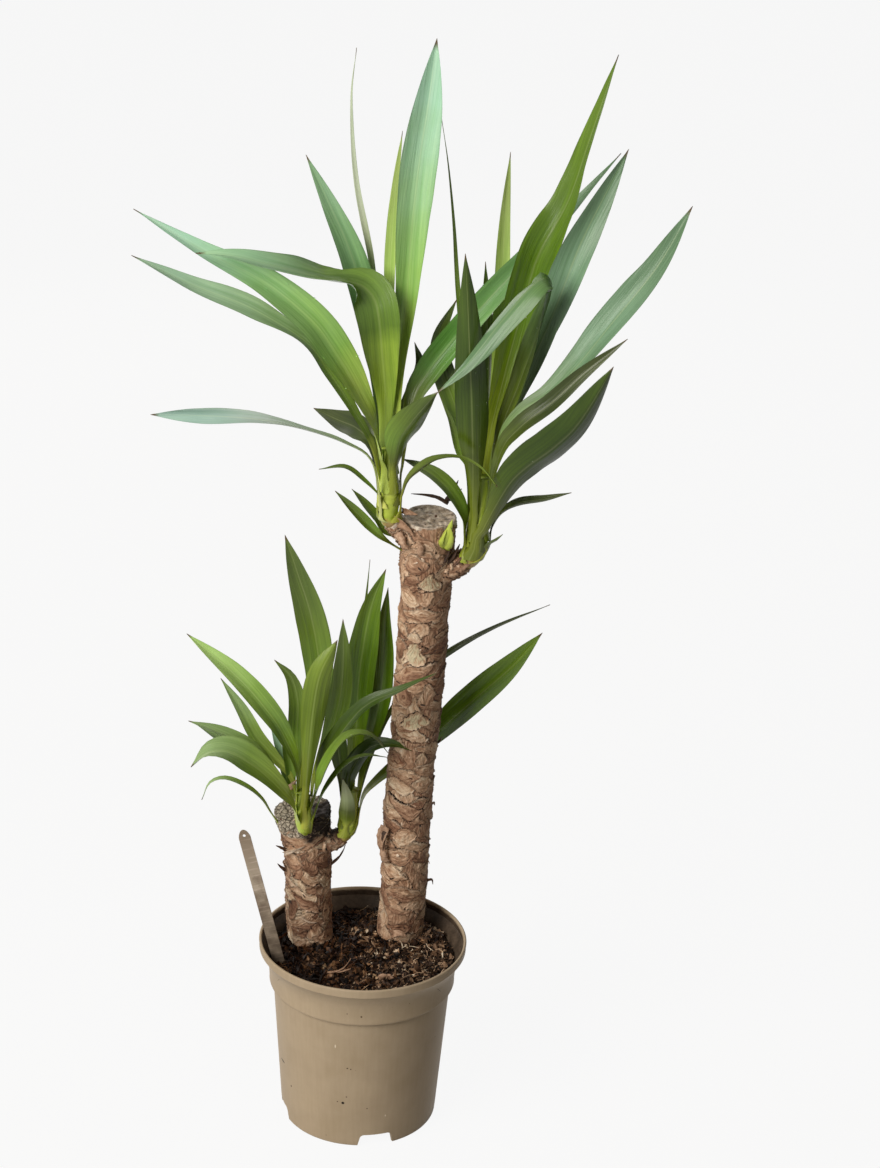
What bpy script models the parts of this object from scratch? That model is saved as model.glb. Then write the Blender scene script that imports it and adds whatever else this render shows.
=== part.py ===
"""Potted yucca: two cut canes with four leafy crowns, rooted in a nursery pot.

Metres, +Z up. The pot stands on z = 0 with its axis on the origin, and -Y is the front.
Every length in the tables below is in millimetres, every angle in degrees."""

import math

import bmesh
import bpy
from mathutils import Matrix, Vector, noise

MM = 0.001
CLEARANCE = 0.3  # left between two pieces that touch
PAST = 2  # how far a cutter runs past the face that it opens
WELD = 0.01  # points nearer than this become one
FRONT = Vector((0, -1, 0))

# Pot: one moulded shell with a flared collar over a step, on a notched foot ring. The collar and the lip
# are (radius, height) up their outside.
POT_STEPS = 36
POT_WALL = 2
FOOT_RADIUS = 64
FOOT_RING = 3
FOOT_ROUND = 1.5
STEP_RADIUS, STEP_HEIGHT = 72.8, 122  # the wall's outside just under the collar
STEP_SOFTNESS = 0.5
COLLAR = ((76, 125), (76.7, 132), (78.2, 140), (80.8, 147), (84, 152))
LIP = ((85, 155), (85, 159), (84.2, 160), (82.8, 160), (82, 159))
FLOOR_BOTTOM, FLOOR_TOP = 14, 16.5
CENTRE_FOOT_RADIUS = 18
NOTCH_COUNT, NOTCH_WIDTH, NOTCH_HEIGHT, NOTCH_DEPTH = 4, 27, 11, 12
FIRST_NOTCH = -75
DRAIN_COUNT, DRAIN_RADIUS, DRAIN_CIRCLE, DRAIN_SIDES = 6, 5, 42, 10

# Soil: level at the wall, heaped against both canes.
SOIL_EDGE = 143
SOIL_RINGS = (69, 60, 50, 40, 30, 20, 10)
SOIL_LUMP, LUMP_SPAN = 1.5, 9
HEAPS = ((31, 33, 7, 35), (-45, 22, 6, 32))  # x, y, height and reach of each heap

# Plant label: a plastic strip pushed in at the left of the rim, leaning out over it.
LABEL_WIDTH, LABEL_LENGTH, LABEL_THICKNESS = 9.5, 140, 0.8
LABEL_TIP = (-62, -22, 126)
LABEL_HEAD = (-98, -12, 259)
LABEL_HOLE_RADIUS = 1.5
ROUND_SIDES = 8  # to half a turn of the label's head, and round its hole

# Canes: (x, y, z, radius) up the middle of each, and the knob under each shoot.
CANE_SIDES, SHOOT_SIDES = 16, 12
TALL_CANE = (
    (29, 37, 60, 18), (30, 33, 150, 19.5), (32, 30, 193, 19.3), (32, 26, 228, 19.8),
    (34, 20, 304, 19.5), (36, 17, 333, 19.3), (38, 13, 379, 20.2), (40, 9, 433, 20),
    (41, 6, 468, 20.2), (41.5, 2, 510, 21.5), (42, 0, 532, 21),
)
SHORT_CANE = (
    (-38, 20, 70, 17), (-45, 22, 155, 18.8), (-46, 22, 180, 19.3), (-47, 22, 199, 19),
    (-48, 22, 227, 20), (-50, 22, 245, 21), (-52, 22, 257, 23), (-53, 22, 265, 23),
)
KNOBS = {
    "tall_cane": (
        ((32, -1, 512, 10), (20, -5, 524, 9), (14, -7.2, 530.5, 7.5)),
        ((42, 3, 486, 14), (60, 0, 492, 11), (71, -4, 499, 9)),
    ),
    "short_cane": (
        ((-50, 12, 247, 8), (-49, -5, 253, 7)),
        ((-42, 19, 238, 12), (-27, 16, 240, 8.5), (-20, 14.5, 245.5, 7)),
    ),
}

# Crowns: (x, y, z, radius) up each shoot's stem. It starts square on its knob's end and turns up.
CROWNS = {
    "tall_left": (
        (13.8, -7.3, 530.7, 6.5), (11.2, -8.2, 533.5, 7), (11, -8, 548, 7.5), (11, -8, 564, 6.5),
        (10, -8, 590, 3.5),
    ),
    "tall_right": (
        (71.2, -4.1, 499.2, 7), (74.4, -5.3, 501.2, 7.5), (79, -5, 512, 8), (80.5, -5, 535, 7),
        (82, -5, 568, 4.5),
    ),
    "short_left": (
        (-49, -5.3, 253.1, 5.5), (-48.8, -9, 254.4, 5.5), (-49.5, -9.5, 262, 6), (-50, -9, 276, 6),
        (-51, -9, 296, 3),
    ),
    "short_right": (
        (-19.8, 14.4, 245.7, 5.8), (-17.2, 13.9, 247.9, 6.2), (-15, 14, 258, 6.8), (-14, 14, 270, 6.3),
        (-13, 14, 288, 4.5),
    ),
}

# Leaves, by the stem that each grows from. A row holds the way the leaf leaves the stem (0 is right,
# 90 is back), how far up the stem, its width, where along it the width is greatest, the way its upper
# face turns from base to tip (0 looks to the front), and its midrib's route from the stem's foot.
LEAF_THICKNESS = 1.2
LEAF_CHANNEL = 0.3  # how far the edges stand up, as a share of half the width
LEAF_FLAT = 0.33  # the channel is at its full depth this far along
LEAF_FOOT = 0.28  # the width where it leaves the stem, as a share of the widest
LEAF_NECK = 0.15  # how much of the way to its widest it stays that narrow
LEAF_TIP = 1
LEAF_SEGMENT = 30  # between two stations of the midrib
LEAST_STATIONS = 7
ROUTE_STEPS = 16  # in each stretch of a route, to space its stations evenly
LEAVES = {
    "tall_left": (
        (40, 54, 29, 0.7, (0,),
         ((1, 9, 110), (5, 15, 171), (7, 19, 220), (11, 21, 272), (17, 19, 325), (21, 15, 367))),
        (150, 50, 33, 0.45, (20, 0, 0, 60, 60, 50),
         ((-8, 3, 96), (-14, 1, 140), (-19, 3, 174), (-28, 4, 189), (-51, -8, 193), (-83, -25, 204),
          (-116, -34, 213), (-147, -37, 216))),
        (225, 40, 29, 0.6, (50, 30, 30, 40, 50),
         ((-16, -17, 83), (-30, -21, 115), (-46, -23, 142), (-65, -25, 167), (-100, -25, 194),
          (-146, -23, 216), (-194, -19, 242))),
        (188, 28, 18, 0.6, (40, 40, 50, 60),
         ((-16, -4, 60), (-31, 1, 86), (-51, 9, 114), (-70, 13, 137), (-112, 15, 161), (-156, 13, 178),
          (-199, 9, 199))),
        (225, 8, 12, 0.8, (90, 90, 90, 60, 10, 0),
         ((-16, -17, 53), (-37, -20, 69), (-70, -27, 82), (-104, -33, 90), (-144, -37, 92),
          (-180, -39, 92))),
        (160, 14, 20, 0.6, (40, 60),
         ((-16, 15, 52), (-29, 31, 62), (-46, 49, 63), (-65, 63, 66))),
        (140, 24, 22, 0.55, (20, 10),
         ((-12, 15, 75), (-19, 31, 134), (-36, 42, 192), (-55, 50, 232), (-74, 59, 267))),
        (90, 30, 5, 0.6, (0,),
         ((-10, 29, 87), (-16, 45, 137), (-23, 53, 190), (-36, 57, 250), (-41, 57, 310),
          (-38, 53, 350))),
        (80, 42, 15, 0.6, (-20,),
         ((-3, 15, 92), (-7, 22, 145), (-8, 27, 198), (-6, 30, 251), (-2, 30, 295))),
        (-60, 40, 26, 0.5, (200, 210),
         ((3, -17, 71), (12, -27, 91), (22, -33, 106), (31, -37, 117))),
        (-20, 14, 9, 0.5, (200, 240, 270),
         ((10, -13, 37), (20, -21, 52), (32, -25, 61), (49, -28, 64), (66, -31, 57), (78, -32, 43))),
        (185, 12, 5, 0.55, (60,),
         ((-10, -3, 20), (-22, -6, 34), (-37, -10, 46), (-56, -15, 45))),
        (60, 36, 14, 0.5, (0,),
         ((6, 23, 73), (13, 31, 95), (17, 35, 114), (12, 37, 131))),
        (5, 30, 21, 0.35, (-20, -20, -40, -60),
         ((11, 13, 87), (24, 21, 115), (57, 33, 157), (89, 45, 192), (126, 57, 234), (161, 65, 276))),
    ),
    "tall_right": (
        (-125, 36, 25, 0.45, (180,),
         ((3, -14, 71), (1, -22, 106), (-1, -26, 139), (-4, -28, 178), (-7, -26, 216),
          (-10, -24, 250))),
        (140, 52, 9, 0.45, (0,),
         ((4, 25, 105), (-7, 40, 156), (-14, 46, 201), (-19, 48, 251), (-25, 46, 298), (-32, 42, 338))),
        (-40, 45, 25, 0.6, (-40, -40, -60, -90, -120, -130, -130),
         ((22, -6, 107), (33, -9, 146), (44, -11, 186), (53, -14, 224), (45, -26, 231), (21, -36, 205),
          (-3, -42, 174), (-27, -44, 149))),
        (98, 62, 31, 0.5, (0, 0, 0, 0, 20, 30, 30),
         ((15, 18, 100), (23, 24, 139), (33, 29, 185), (45, 30, 236), (64, 29, 279), (78, 26, 329),
          (95, 20, 390))),
        (28, 54, 26, 0.6, (-20, -30, -50, 0, 0),
         ((20, 7, 88), (30, 4, 126), (42, 4, 158), (57, 4, 200), (73, 6, 248), (89, 9, 285),
          (106, 12, 323))),
        (-70, 35, 28, 0.65, (-60, -60, -40, -30),
         ((22, -20, 101), (35, -24, 128), (55, -25, 146), (72, -27, 169), (94, -28, 201),
          (124, -28, 248), (152, -28, 293))),
        (-75, 27, 15, 0.55, (-60, -60),
         ((21, -31, 97), (34, -43, 124), (57, -47, 146), (81, -49, 172), (110, -49, 198))),
        (-100, 20, 31, 0.55, (200, 200),
         ((27, -31, 72), (41, -38, 93), (60, -45, 112), (78, -49, 134), (101, -51, 177))),
        (5, 20, 8, 0.55, (-60,),
         ((20, -1, 31), (27, -5, 44), (39, -10, 53), (58, -16, 59), (77, -20, 66))),
        (-30, 12, 11, 0.3, (-120,),
         ((22, -8, 20), (27, -10, 26))),
        (205, 40, 6, 0.55, (20,),
         ((0, -3, 75), (-9, -1, 90), (-16, 4, 112), (-24, 10, 127))),
        (162, 30, 19, 0.55, (20,),
         ((-1, 9, 82), (-13, 18, 119), (-25, 27, 148), (-27, 29, 171), (-15, 29, 199))),
        (120, 40, 12, 0.55, (0,),
         ((10, 28, 88), (12, 46, 131), (9, 60, 174), (6, 64, 219))),
        (122, 56, 12, 0.55, (0,),
         ((14, 25, 98), (18, 34, 143), (19, 48, 194), (19, 54, 251), (21, 54, 307))),
        (203, 12, 17, 0.5, (60,),
         ((-3, -7, 38), (-13, -6, 57), (-26, 0, 68), (-39, 6, 73), (-51, 12, 76))),
    ),
    "short_left": (
        (170, 28, 19, 0.55, (40,),
         ((-7, -4, 57), (-16, -4, 83), (-29, -3, 105), (-57, 3, 135), (-96, 9, 166))),
        (95, 36, 25, 0.6, (0,),
         ((-1, 8, 56), (3, 15, 93), (8, 17, 132), (1, 19, 178), (-12, 20, 220), (-21, 20, 248))),
        (-85, 24, 21, 0.7, (180,),
         ((1, -15, 54), (3, -19, 87), (6, -21, 123), (11, -21, 152), (23, -19, 178))),
        (15, 32, 18, 0.55, (0,),
         ((7, 0, 52), (17, 4, 81), (25, 6, 116), (27, 7, 150), (26, 8, 184))),
        (-12, 24, 12, 0.55, (-50, -60, -80),
         ((10, -10, 55), (19, -13, 81), (33, -19, 108), (48, -23, 127), (73, -27, 142),
          (102, -25, 157))),
        (-40, 20, 13, 0.55, (-70, -80, -100),
         ((9, -19, 48), (18, -29, 78), (29, -33, 99), (41, -35, 107), (54, -35, 104), (65, -31, 89))),
        (-25, 8, 8, 0.55, (-70, -90),
         ((11, -13, 35), (20, -17, 55), (32, -19, 72), (47, -19, 80), (64, -17, 78))),
        (207, 20, 14, 0.7, (70, 80),
         ((-11, -15, 41), (-23, -16, 59), (-38, -17, 79), (-61, -19, 93), (-92, -17, 103))),
        (172, 16, 12, 0.55, (60, 70),
         ((-12, -3, 34), (-28, -2, 51), (-50, -1, 68), (-70, -1, 81), (-88, -1, 93))),
        (220, 10, 27, 0.7, (60, 60, 90),
         ((-9, -21, 34), (-22, -30, 57), (-38, -33, 74), (-56, -37, 89), (-71, -39, 91),
          (-82, -39, 78))),
        (142, 24, 12, 0.55, (20,),
         ((-12, 13, 40), (-27, 17, 58), (-41, 17, 75), (-54, 17, 100), (-70, 17, 125))),
        (120, 32, 15, 0.55, (0,),
         ((-6, 11, 45), (-9, 17, 74), (-9, 21, 104), (-15, 23, 126), (-28, 23, 140))),
    ),
    "short_right": (
        (92, 30, 25, 0.55, (0,),
         ((6, 6, 49), (9, 9, 91), (10, 12, 134), (15, 12, 178), (20, 12, 204), (29, 10, 231))),
        (30, 26, 18, 0.55, (0,),
         ((14, 10, 48), (20, 18, 78), (27, 20, 113), (29, 21, 148), (29, 21, 183), (31, 20, 211))),
        (150, 24, 5, 0.55, (0,),
         ((5, 19, 50), (7, 22, 102), (10, 24, 155), (14, 24, 203), (16, 23, 233))),
        (-10, 13, 25, 0.65, (-40, -40, -40, -40),
         ((16, 8, 31), (27, 22, 40), (49, 38, 53), (74, 44, 75), (104, 44, 107), (131, 40, 137),
          (155, 34, 171))),
        (50, 14, 6, 0.55, (0, 0, -60, -60),
         ((15, 20, 36), (23, 30, 63), (35, 42, 92), (58, 50, 122), (80, 50, 143), (117, 44, 170),
          (160, 38, 194))),
        (-100, 12, 14, 0.2, (180,),
         ((4, -14, 38), (0, -15, 59))),
    ),
    "tall_cane": (
        (195, 446, 9, 0.55, (40,),
         ((-21, -47, 456), (-31, -49, 466), (-41, -51, 477), (-59, -53, 496))),
        (165, 452, 8, 0.55, (40,),
         ((-21, -33, 456), (-27, -34, 468), (-36, -35, 479), (-47, -37, 492))),
    ),
    "short_cane": (
        (205, 186, 5, 0.55, (70,),
         ((-39, -22, 203), (-46, -26, 217), (-59, -30, 230), (-75, -32, 237), (-87, -34, 233),
          (-93, -34, 218))),
    ),
}

SOLIDS = "potted_yucca"
CUTTERS = "cutters"


def clear_scene():
    for old in list(bpy.data.objects):
        bpy.data.objects.remove(old)
    for name in (SOLIDS, CUTTERS):
        bpy.context.scene.collection.children.link(bpy.data.collections.new(name))


def material(name, colour, roughness):
    made = bpy.data.materials.new(name)
    made.use_nodes = True
    shader = made.node_tree.nodes["Principled BSDF"]
    shader.inputs["Base Color"].default_value = (*colour, 1)
    shader.inputs["Roughness"].default_value = roughness
    shader.inputs["Metallic"].default_value = 0
    return made


def add(name, data, finish=None, collection=SOLIDS):
    made = bpy.data.objects.new(name, data)
    bpy.data.collections[collection].objects.link(made)
    if finish:
        data.materials.append(finish)
    return made


def as_mesh(source, name=None, finish=None, collection=SOLIDS):
    """A welded mesh object of a curve or of an object with modifiers, in place of it."""
    graph = bpy.context.evaluated_depsgraph_get()
    mesh = bpy.data.meshes.new_from_object(source.evaluated_get(graph))
    shape = bmesh.new()
    shape.from_mesh(mesh)
    bmesh.ops.remove_doubles(shape, verts=shape.verts, dist=WELD * MM)
    bmesh.ops.recalc_face_normals(shape, faces=shape.faces)
    shape.to_mesh(mesh)
    shape.free()
    name = name or source.name
    place = source.matrix_world.copy()
    bpy.data.objects.remove(source)
    mesh.materials.clear()
    made = add(name, mesh, finish, collection)
    made.matrix_world = place
    return made


def boolean(target, other, operation):
    cut = target.modifiers.new(other.name, "BOOLEAN")
    cut.object = other
    cut.operation = operation
    other.hide_render = True
    other.display_type = "WIRE"


def smooth_route(points, count):
    """Evenly spaced places along a smooth curve through the points."""
    first, last = 2 * points[0] - points[1], 2 * points[-1] - points[-2]
    ends = [first, *points, last]
    fine = []
    for before, start, stop, after in zip(ends, ends[1:], ends[2:], ends[3:]):
        for step in range(ROUTE_STEPS):
            t = step / ROUTE_STEPS
            fine.append(
                0.5
                * (
                    2 * start
                    + (stop - before) * t
                    + (2 * before - 5 * start + 4 * stop - after) * t**2
                    + (3 * start - before - 3 * stop + after) * t**3
                )
            )
    fine.append(points[-1].copy())
    lengths = [0]
    for here, there in zip(fine, fine[1:]):
        lengths.append(lengths[-1] + (there - here).length)
    places = []
    index = 0
    for step in range(count):
        wanted = lengths[-1] * step / (count - 1)
        while index < len(fine) - 2 and lengths[index + 1] < wanted:
            index += 1
        share = (wanted - lengths[index]) / (lengths[index + 1] - lengths[index])
        places.append(fine[index].lerp(fine[index + 1], share))
    return places


def turned(name, profile, collection=SOLIDS):
    """A closed (radius, height) outline swept round the pot's axis."""
    shape = bmesh.new()
    corners = [shape.verts.new((radius * MM, 0, height * MM)) for radius, height in profile]
    for here, there in zip(corners, corners[1:]):
        shape.edges.new((here, there))
    mesh = bpy.data.meshes.new(name)
    shape.to_mesh(mesh)
    shape.free()
    made = add(name, mesh, collection=collection)
    sweep = made.modifiers.new("turn", "SCREW")
    sweep.steps = sweep.render_steps = POT_STEPS
    sweep.use_merge_vertices = True
    sweep.merge_threshold = WELD * MM
    return as_mesh(made, collection=collection)


def stalk(name, axis, finish=None, extra=0, sides=CANE_SIDES, collection=SOLIDS):
    """A round stem up the (x, y, z, radius) axis, flat at both ends."""
    curve = bpy.data.curves.new(name, "CURVE")
    curve.dimensions = "3D"
    curve.bevel_depth = MM
    curve.bevel_resolution = (sides - 4) // 2
    curve.use_fill_caps = True
    spline = curve.splines.new("POLY")
    spline.points.add(len(axis) - 1)
    for point, (x, y, z, radius) in zip(spline.points, axis):
        point.co = (x * MM, y * MM, z * MM, 1)
        point.radius = radius + extra
    return as_mesh(add(name, curve, collection=collection), name, finish, collection)


def wall_radius(height):
    """The pot wall's outside, below the collar."""
    return FOOT_RADIUS + (STEP_RADIUS - FOOT_RADIUS) * height / STEP_HEIGHT


def pot(finish):
    inside = [(radius - POT_WALL, height) for radius, height in COLLAR]
    outline = [(0, FLOOR_TOP), (wall_radius(FLOOR_TOP) - POT_WALL, FLOOR_TOP)]
    outline += [(STEP_RADIUS - POT_WALL, STEP_HEIGHT), *inside, *reversed(LIP), *reversed(COLLAR)]
    outline += [(STEP_RADIUS, STEP_HEIGHT + STEP_SOFTNESS), (FOOT_RADIUS, FOOT_ROUND)]
    outline += [(FOOT_RADIUS - FOOT_ROUND, 0)]
    outline += [(FOOT_RADIUS - FOOT_RING, 0), (FOOT_RADIUS - FOOT_RING, FLOOR_BOTTOM)]
    outline += [(CENTRE_FOOT_RADIUS, FLOOR_BOTTOM), (CENTRE_FOOT_RADIUS, 0), (0, 0)]
    made = turned("pot", outline)
    made.data.materials.append(finish)
    for index in range(NOTCH_COUNT):
        angle = math.radians(FIRST_NOTCH + 360 * index / NOTCH_COUNT)
        bpy.ops.mesh.primitive_cube_add(size=1)
        notch = bpy.context.object
        notch.name = f"notch_{index + 1}"
        place = Matrix.Rotation(angle, 4, "Z") @ Matrix.Translation(
            Vector((FOOT_RADIUS, 0, (NOTCH_HEIGHT - PAST) / 2)) * MM
        )
        size = Vector((NOTCH_DEPTH, NOTCH_WIDTH, NOTCH_HEIGHT + PAST)) * MM
        notch.matrix_world = place @ Matrix.Diagonal((*size, 1))
        move_to_cutters(notch)
        boolean(made, notch, "DIFFERENCE")
    for index in range(DRAIN_COUNT):
        angle = 2 * math.pi * index / DRAIN_COUNT
        middle = (FLOOR_TOP + FLOOR_BOTTOM) / 2
        place = Vector((math.cos(angle) * DRAIN_CIRCLE, math.sin(angle) * DRAIN_CIRCLE, middle)) * MM
        deep = (FLOOR_TOP - FLOOR_BOTTOM + 2 * PAST) * MM
        bpy.ops.mesh.primitive_cylinder_add(
            vertices=DRAIN_SIDES, radius=DRAIN_RADIUS * MM, depth=deep, location=place
        )
        drain = bpy.context.object
        drain.name = f"drain_{index + 1}"
        move_to_cutters(drain)
        boolean(made, drain, "DIFFERENCE")
    return made


def move_to_cutters(cutter):
    for owner in list(cutter.users_collection):
        owner.objects.unlink(cutter)
    bpy.data.collections[CUTTERS].objects.link(cutter)


def soil(finish, pockets):
    """The root ball and the soil over it, heaped against the canes, with a pocket for what stands in it."""
    inset = POT_WALL + CLEARANCE
    side = [(radius - inset, height) for radius, height in COLLAR[:3]]
    outline = [(0, SOIL_EDGE)] + [(radius, SOIL_EDGE) for radius in reversed(SOIL_RINGS)]
    outline += [(side[-1][0], SOIL_EDGE), *reversed(side), (STEP_RADIUS - inset, STEP_HEIGHT)]
    outline += [(wall_radius(FLOOR_TOP) - inset, FLOOR_TOP + CLEARANCE), (0, FLOOR_TOP + CLEARANCE)]
    made = turned("soil", outline)
    made.data.materials.append(finish)
    for vertex in made.data.vertices:
        x, y, z = vertex.co / MM
        if z < SOIL_EDGE - CLEARANCE or math.hypot(x, y) > SOIL_RINGS[0] + CLEARANCE:
            continue
        lift = SOIL_LUMP * noise.noise(Vector((x, y, 0)) / LUMP_SPAN)
        for heap_x, heap_y, height, reach in HEAPS:
            lift += height * math.exp(-((x - heap_x) ** 2 + (y - heap_y) ** 2) / reach**2)
        vertex.co.z += lift * MM
    for pocket in pockets:
        boolean(made, pocket, "DIFFERENCE")
    return made


def label_outline(name, grow, thickness, hole, collection=SOLIDS):
    """The strip lying flat along +X from its pointed tip, with a round head."""
    half = LABEL_WIDTH / 2 + grow
    head = LABEL_LENGTH - half
    rim = [(-grow, 0), (3 * half, -half)]
    rim += [
        (head + half * math.sin(turn), -half * math.cos(turn))
        for turn in (math.pi * step / ROUND_SIDES for step in range(ROUND_SIDES + 1))
    ]
    rim += [(3 * half, half)]
    curve = bpy.data.curves.new(name, "CURVE")
    curve.dimensions = "2D"
    curve.fill_mode = "BOTH"
    curve.extrude = thickness / 2 * MM
    holes = [
        (head + LABEL_HOLE_RADIUS * math.cos(turn), LABEL_HOLE_RADIUS * math.sin(turn))
        for turn in (2 * math.pi * step / ROUND_SIDES for step in range(ROUND_SIDES))
    ]
    for ring in (rim, holes) if hole else (rim,):
        spline = curve.splines.new("POLY")
        spline.points.add(len(ring) - 1)
        spline.use_cyclic_u = True
        for point, (x, y) in zip(spline.points, ring):
            point.co = (x * MM, y * MM, 0, 1)
    made = as_mesh(add(name, curve, collection=collection), collection=collection)
    along = (Vector(LABEL_HEAD) - Vector(LABEL_TIP)).normalized()
    across = along.cross(FRONT).normalized()
    made.matrix_world = Matrix.Translation(Vector(LABEL_TIP) * MM) @ Matrix(
        (along, across, along.cross(across))
    ).transposed().to_4x4()
    return made


def station(axis, level):
    """The middle and the radius of a stem this far up its axis."""
    for (*start, wide), (*stop, narrow) in zip(axis, axis[1:]):
        span = (Vector(stop) - Vector(start)).length
        if level <= span:
            break
        level -= span
    share = min(level / span, 1)
    return Vector(start).lerp(Vector(stop), share), wide + (narrow - wide) * share


def blade_width(share, belly):
    """A leaf's width along its length, as a share of its widest: a narrow foot, a belly and a point."""
    if share < belly:
        rise = max(0, share / belly - LEAF_NECK) / (1 - LEAF_NECK)
        return LEAF_FOOT + (1 - LEAF_FOOT) * rise * rise * (3 - 2 * rise)
    return 1 - ((share - belly) / (1 - belly)) ** 2


def leaf(name, stem, row, finish):
    """One blade: a channelled strip along its midrib, thickened both ways."""
    angle, level, width, belly, turns, route = row
    foot = Vector(stem[0][:3])
    middle, radius = station(stem, level)
    out = Vector((math.cos(math.radians(angle)), math.sin(math.radians(angle)), 0))
    start = middle + out * (radius + CLEARANCE + LEAF_THICKNESS / 2)
    points = [start] + [foot + Vector(point) for point in route]
    length = sum((there - here).length for here, there in zip(points, points[1:]))
    count = max(LEAST_STATIONS, round(length / LEAF_SEGMENT) + 1)
    places = smooth_route(points, count)
    at_base = angle - 90
    at_base += 360 * round((turns[0] - at_base) / 360)
    facing = [at_base, *turns] if len(turns) > 1 else [at_base, turns[0], turns[0], turns[0]]
    shape = bmesh.new()
    rows = []
    for index, place in enumerate(places):
        share = index / (count - 1)
        along = (places[min(index + 1, count - 1)] - places[max(index - 1, 0)]).normalized()
        spot = share * (len(facing) - 1)
        low = min(int(spot), len(facing) - 2)
        turn = math.radians(facing[low] + (facing[low + 1] - facing[low]) * (spot - low))
        front = (FRONT - along * FRONT.dot(along)).normalized()
        side = along.cross(front)
        face = front * math.cos(turn) + side * math.sin(turn)
        half = max(width * blade_width(share, belly), LEAF_TIP) / 2
        across = along.cross(face) * half
        lift = face * half * LEAF_CHANNEL * min(1, share / LEAF_FLAT)
        edges = (place - across + lift, place, place + across + lift)
        rows.append([shape.verts.new(edge * MM) for edge in edges])
    for here, there in zip(rows, rows[1:]):
        for column in range(2):
            shape.faces.new((here[column], here[column + 1], there[column + 1], there[column]))
    mesh = bpy.data.meshes.new(name)
    shape.to_mesh(mesh)
    shape.free()
    made = add(name, mesh, finish)
    thick = made.modifiers.new("thickness", "SOLIDIFY")
    thick.thickness = LEAF_THICKNESS * MM
    thick.offset = 0
    return made


def cane(name, axis, finish):
    """One cut cane: its trunk and the knobs that its shoots grow from, as one piece of wood."""
    made = stalk(name, axis, finish)
    for index, knob in enumerate(KNOBS[name]):
        branch = stalk(f"{name}_knob_{index + 1}", knob, sides=SHOOT_SIDES, collection=CUTTERS)
        boolean(made, branch, "UNION")
    return made


def main():
    clear_scene()
    plastic = material("taupe_plastic", (0.30, 0.25, 0.18), 0.45)
    earth = material("potting_soil", (0.03, 0.02, 0.015), 0.95)
    strip = material("grey_plastic", (0.30, 0.28, 0.25), 0.5)
    bark = material("cane_bark", (0.28, 0.17, 0.10), 0.85)
    stem = material("crown_stem", (0.38, 0.48, 0.10), 0.5)
    green = material("leaf_green", (0.12, 0.24, 0.05), 0.4)

    pot(plastic)
    pockets = [
        stalk("tall_pocket", TALL_CANE, extra=CLEARANCE, collection=CUTTERS),
        stalk("short_pocket", SHORT_CANE, extra=CLEARANCE, collection=CUTTERS),
        label_outline("label_pocket", CLEARANCE, LABEL_THICKNESS + 2 * CLEARANCE, False, CUTTERS),
    ]
    soil(earth, pockets)
    label_outline("plant_label", 0, LABEL_THICKNESS, True).data.materials.append(strip)
    cane("tall_cane", TALL_CANE, bark)
    cane("short_cane", SHORT_CANE, bark)
    for place, axis in CROWNS.items():
        stalk(f"{place}_crown", axis, stem, sides=SHOOT_SIDES)
    stems = {**CROWNS, "tall_cane": TALL_CANE, "short_cane": SHORT_CANE}
    for place, rows in LEAVES.items():
        for index, row in enumerate(rows):
            leaf(f"{place}_leaf_{index + 1}", stems[place], row, green)


main()
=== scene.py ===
import math
import random

import bmesh
import bpy
import numpy
from mathutils import Matrix, Vector, noise


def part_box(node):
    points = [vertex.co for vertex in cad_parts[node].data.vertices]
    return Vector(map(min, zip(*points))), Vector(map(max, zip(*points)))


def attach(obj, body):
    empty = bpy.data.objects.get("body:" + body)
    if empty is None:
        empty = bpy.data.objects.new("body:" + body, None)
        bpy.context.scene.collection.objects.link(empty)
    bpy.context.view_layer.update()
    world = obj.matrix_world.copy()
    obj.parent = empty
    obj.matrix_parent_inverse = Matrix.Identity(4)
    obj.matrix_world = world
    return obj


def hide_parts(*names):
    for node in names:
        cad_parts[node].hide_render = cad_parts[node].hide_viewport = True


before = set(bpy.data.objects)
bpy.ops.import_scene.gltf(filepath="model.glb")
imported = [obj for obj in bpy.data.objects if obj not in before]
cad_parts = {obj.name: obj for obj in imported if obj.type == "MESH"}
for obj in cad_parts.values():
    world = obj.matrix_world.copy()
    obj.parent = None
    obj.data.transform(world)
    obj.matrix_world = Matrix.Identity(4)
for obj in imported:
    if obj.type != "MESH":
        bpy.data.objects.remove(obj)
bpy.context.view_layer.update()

MM = 0.001


# --- Nursery pot -------------------------------------------------------------------------------------
# One injection-moulded polypropylene pot in taupe. It is thin-walled, with a flared collar above a
# step, a rolled lip, turning rings inside the collar and a foot cut by drainage notches.

POT_RINGS = 192
POT_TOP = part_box("pot")[1].z / MM
WALL = 2
FOOT = 64
POT_FLOOR = 16.5
STEP_WIDE, STEP_HIGH = 72.8, 122
DRAIN_RING = 42


def linear(hex_colour):
    """An sRGB hex colour as the linear RGBA that a shader takes."""
    parts = [int(hex_colour[place : place + 2], 16) / 255 for place in (1, 3, 5)]
    return [part / 12.92 if part <= 0.04045 else ((part + 0.055) / 1.055) ** 2.4 for part in parts] + [1]


def finish_named(name):
    """An empty material, its node tree and its Principled shader."""
    made = bpy.data.materials.new(name)
    made.use_nodes = True
    return made, made.node_tree, made.node_tree.nodes["Principled BSDF"]


def fill(tree, made, feeds):
    """Fills a node's sockets, each with a value, a hex colour, another node's output, or a node, which
    stands for its first output in use."""
    for socket, source in feeds:
        if isinstance(source, bpy.types.Node):
            source = next(output for output in source.outputs if output.enabled)
        if isinstance(source, bpy.types.NodeSocket):
            tree.links.new(made.inputs[socket], source)
        else:
            made.inputs[socket].default_value = linear(source) if isinstance(source, str) else source


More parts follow.
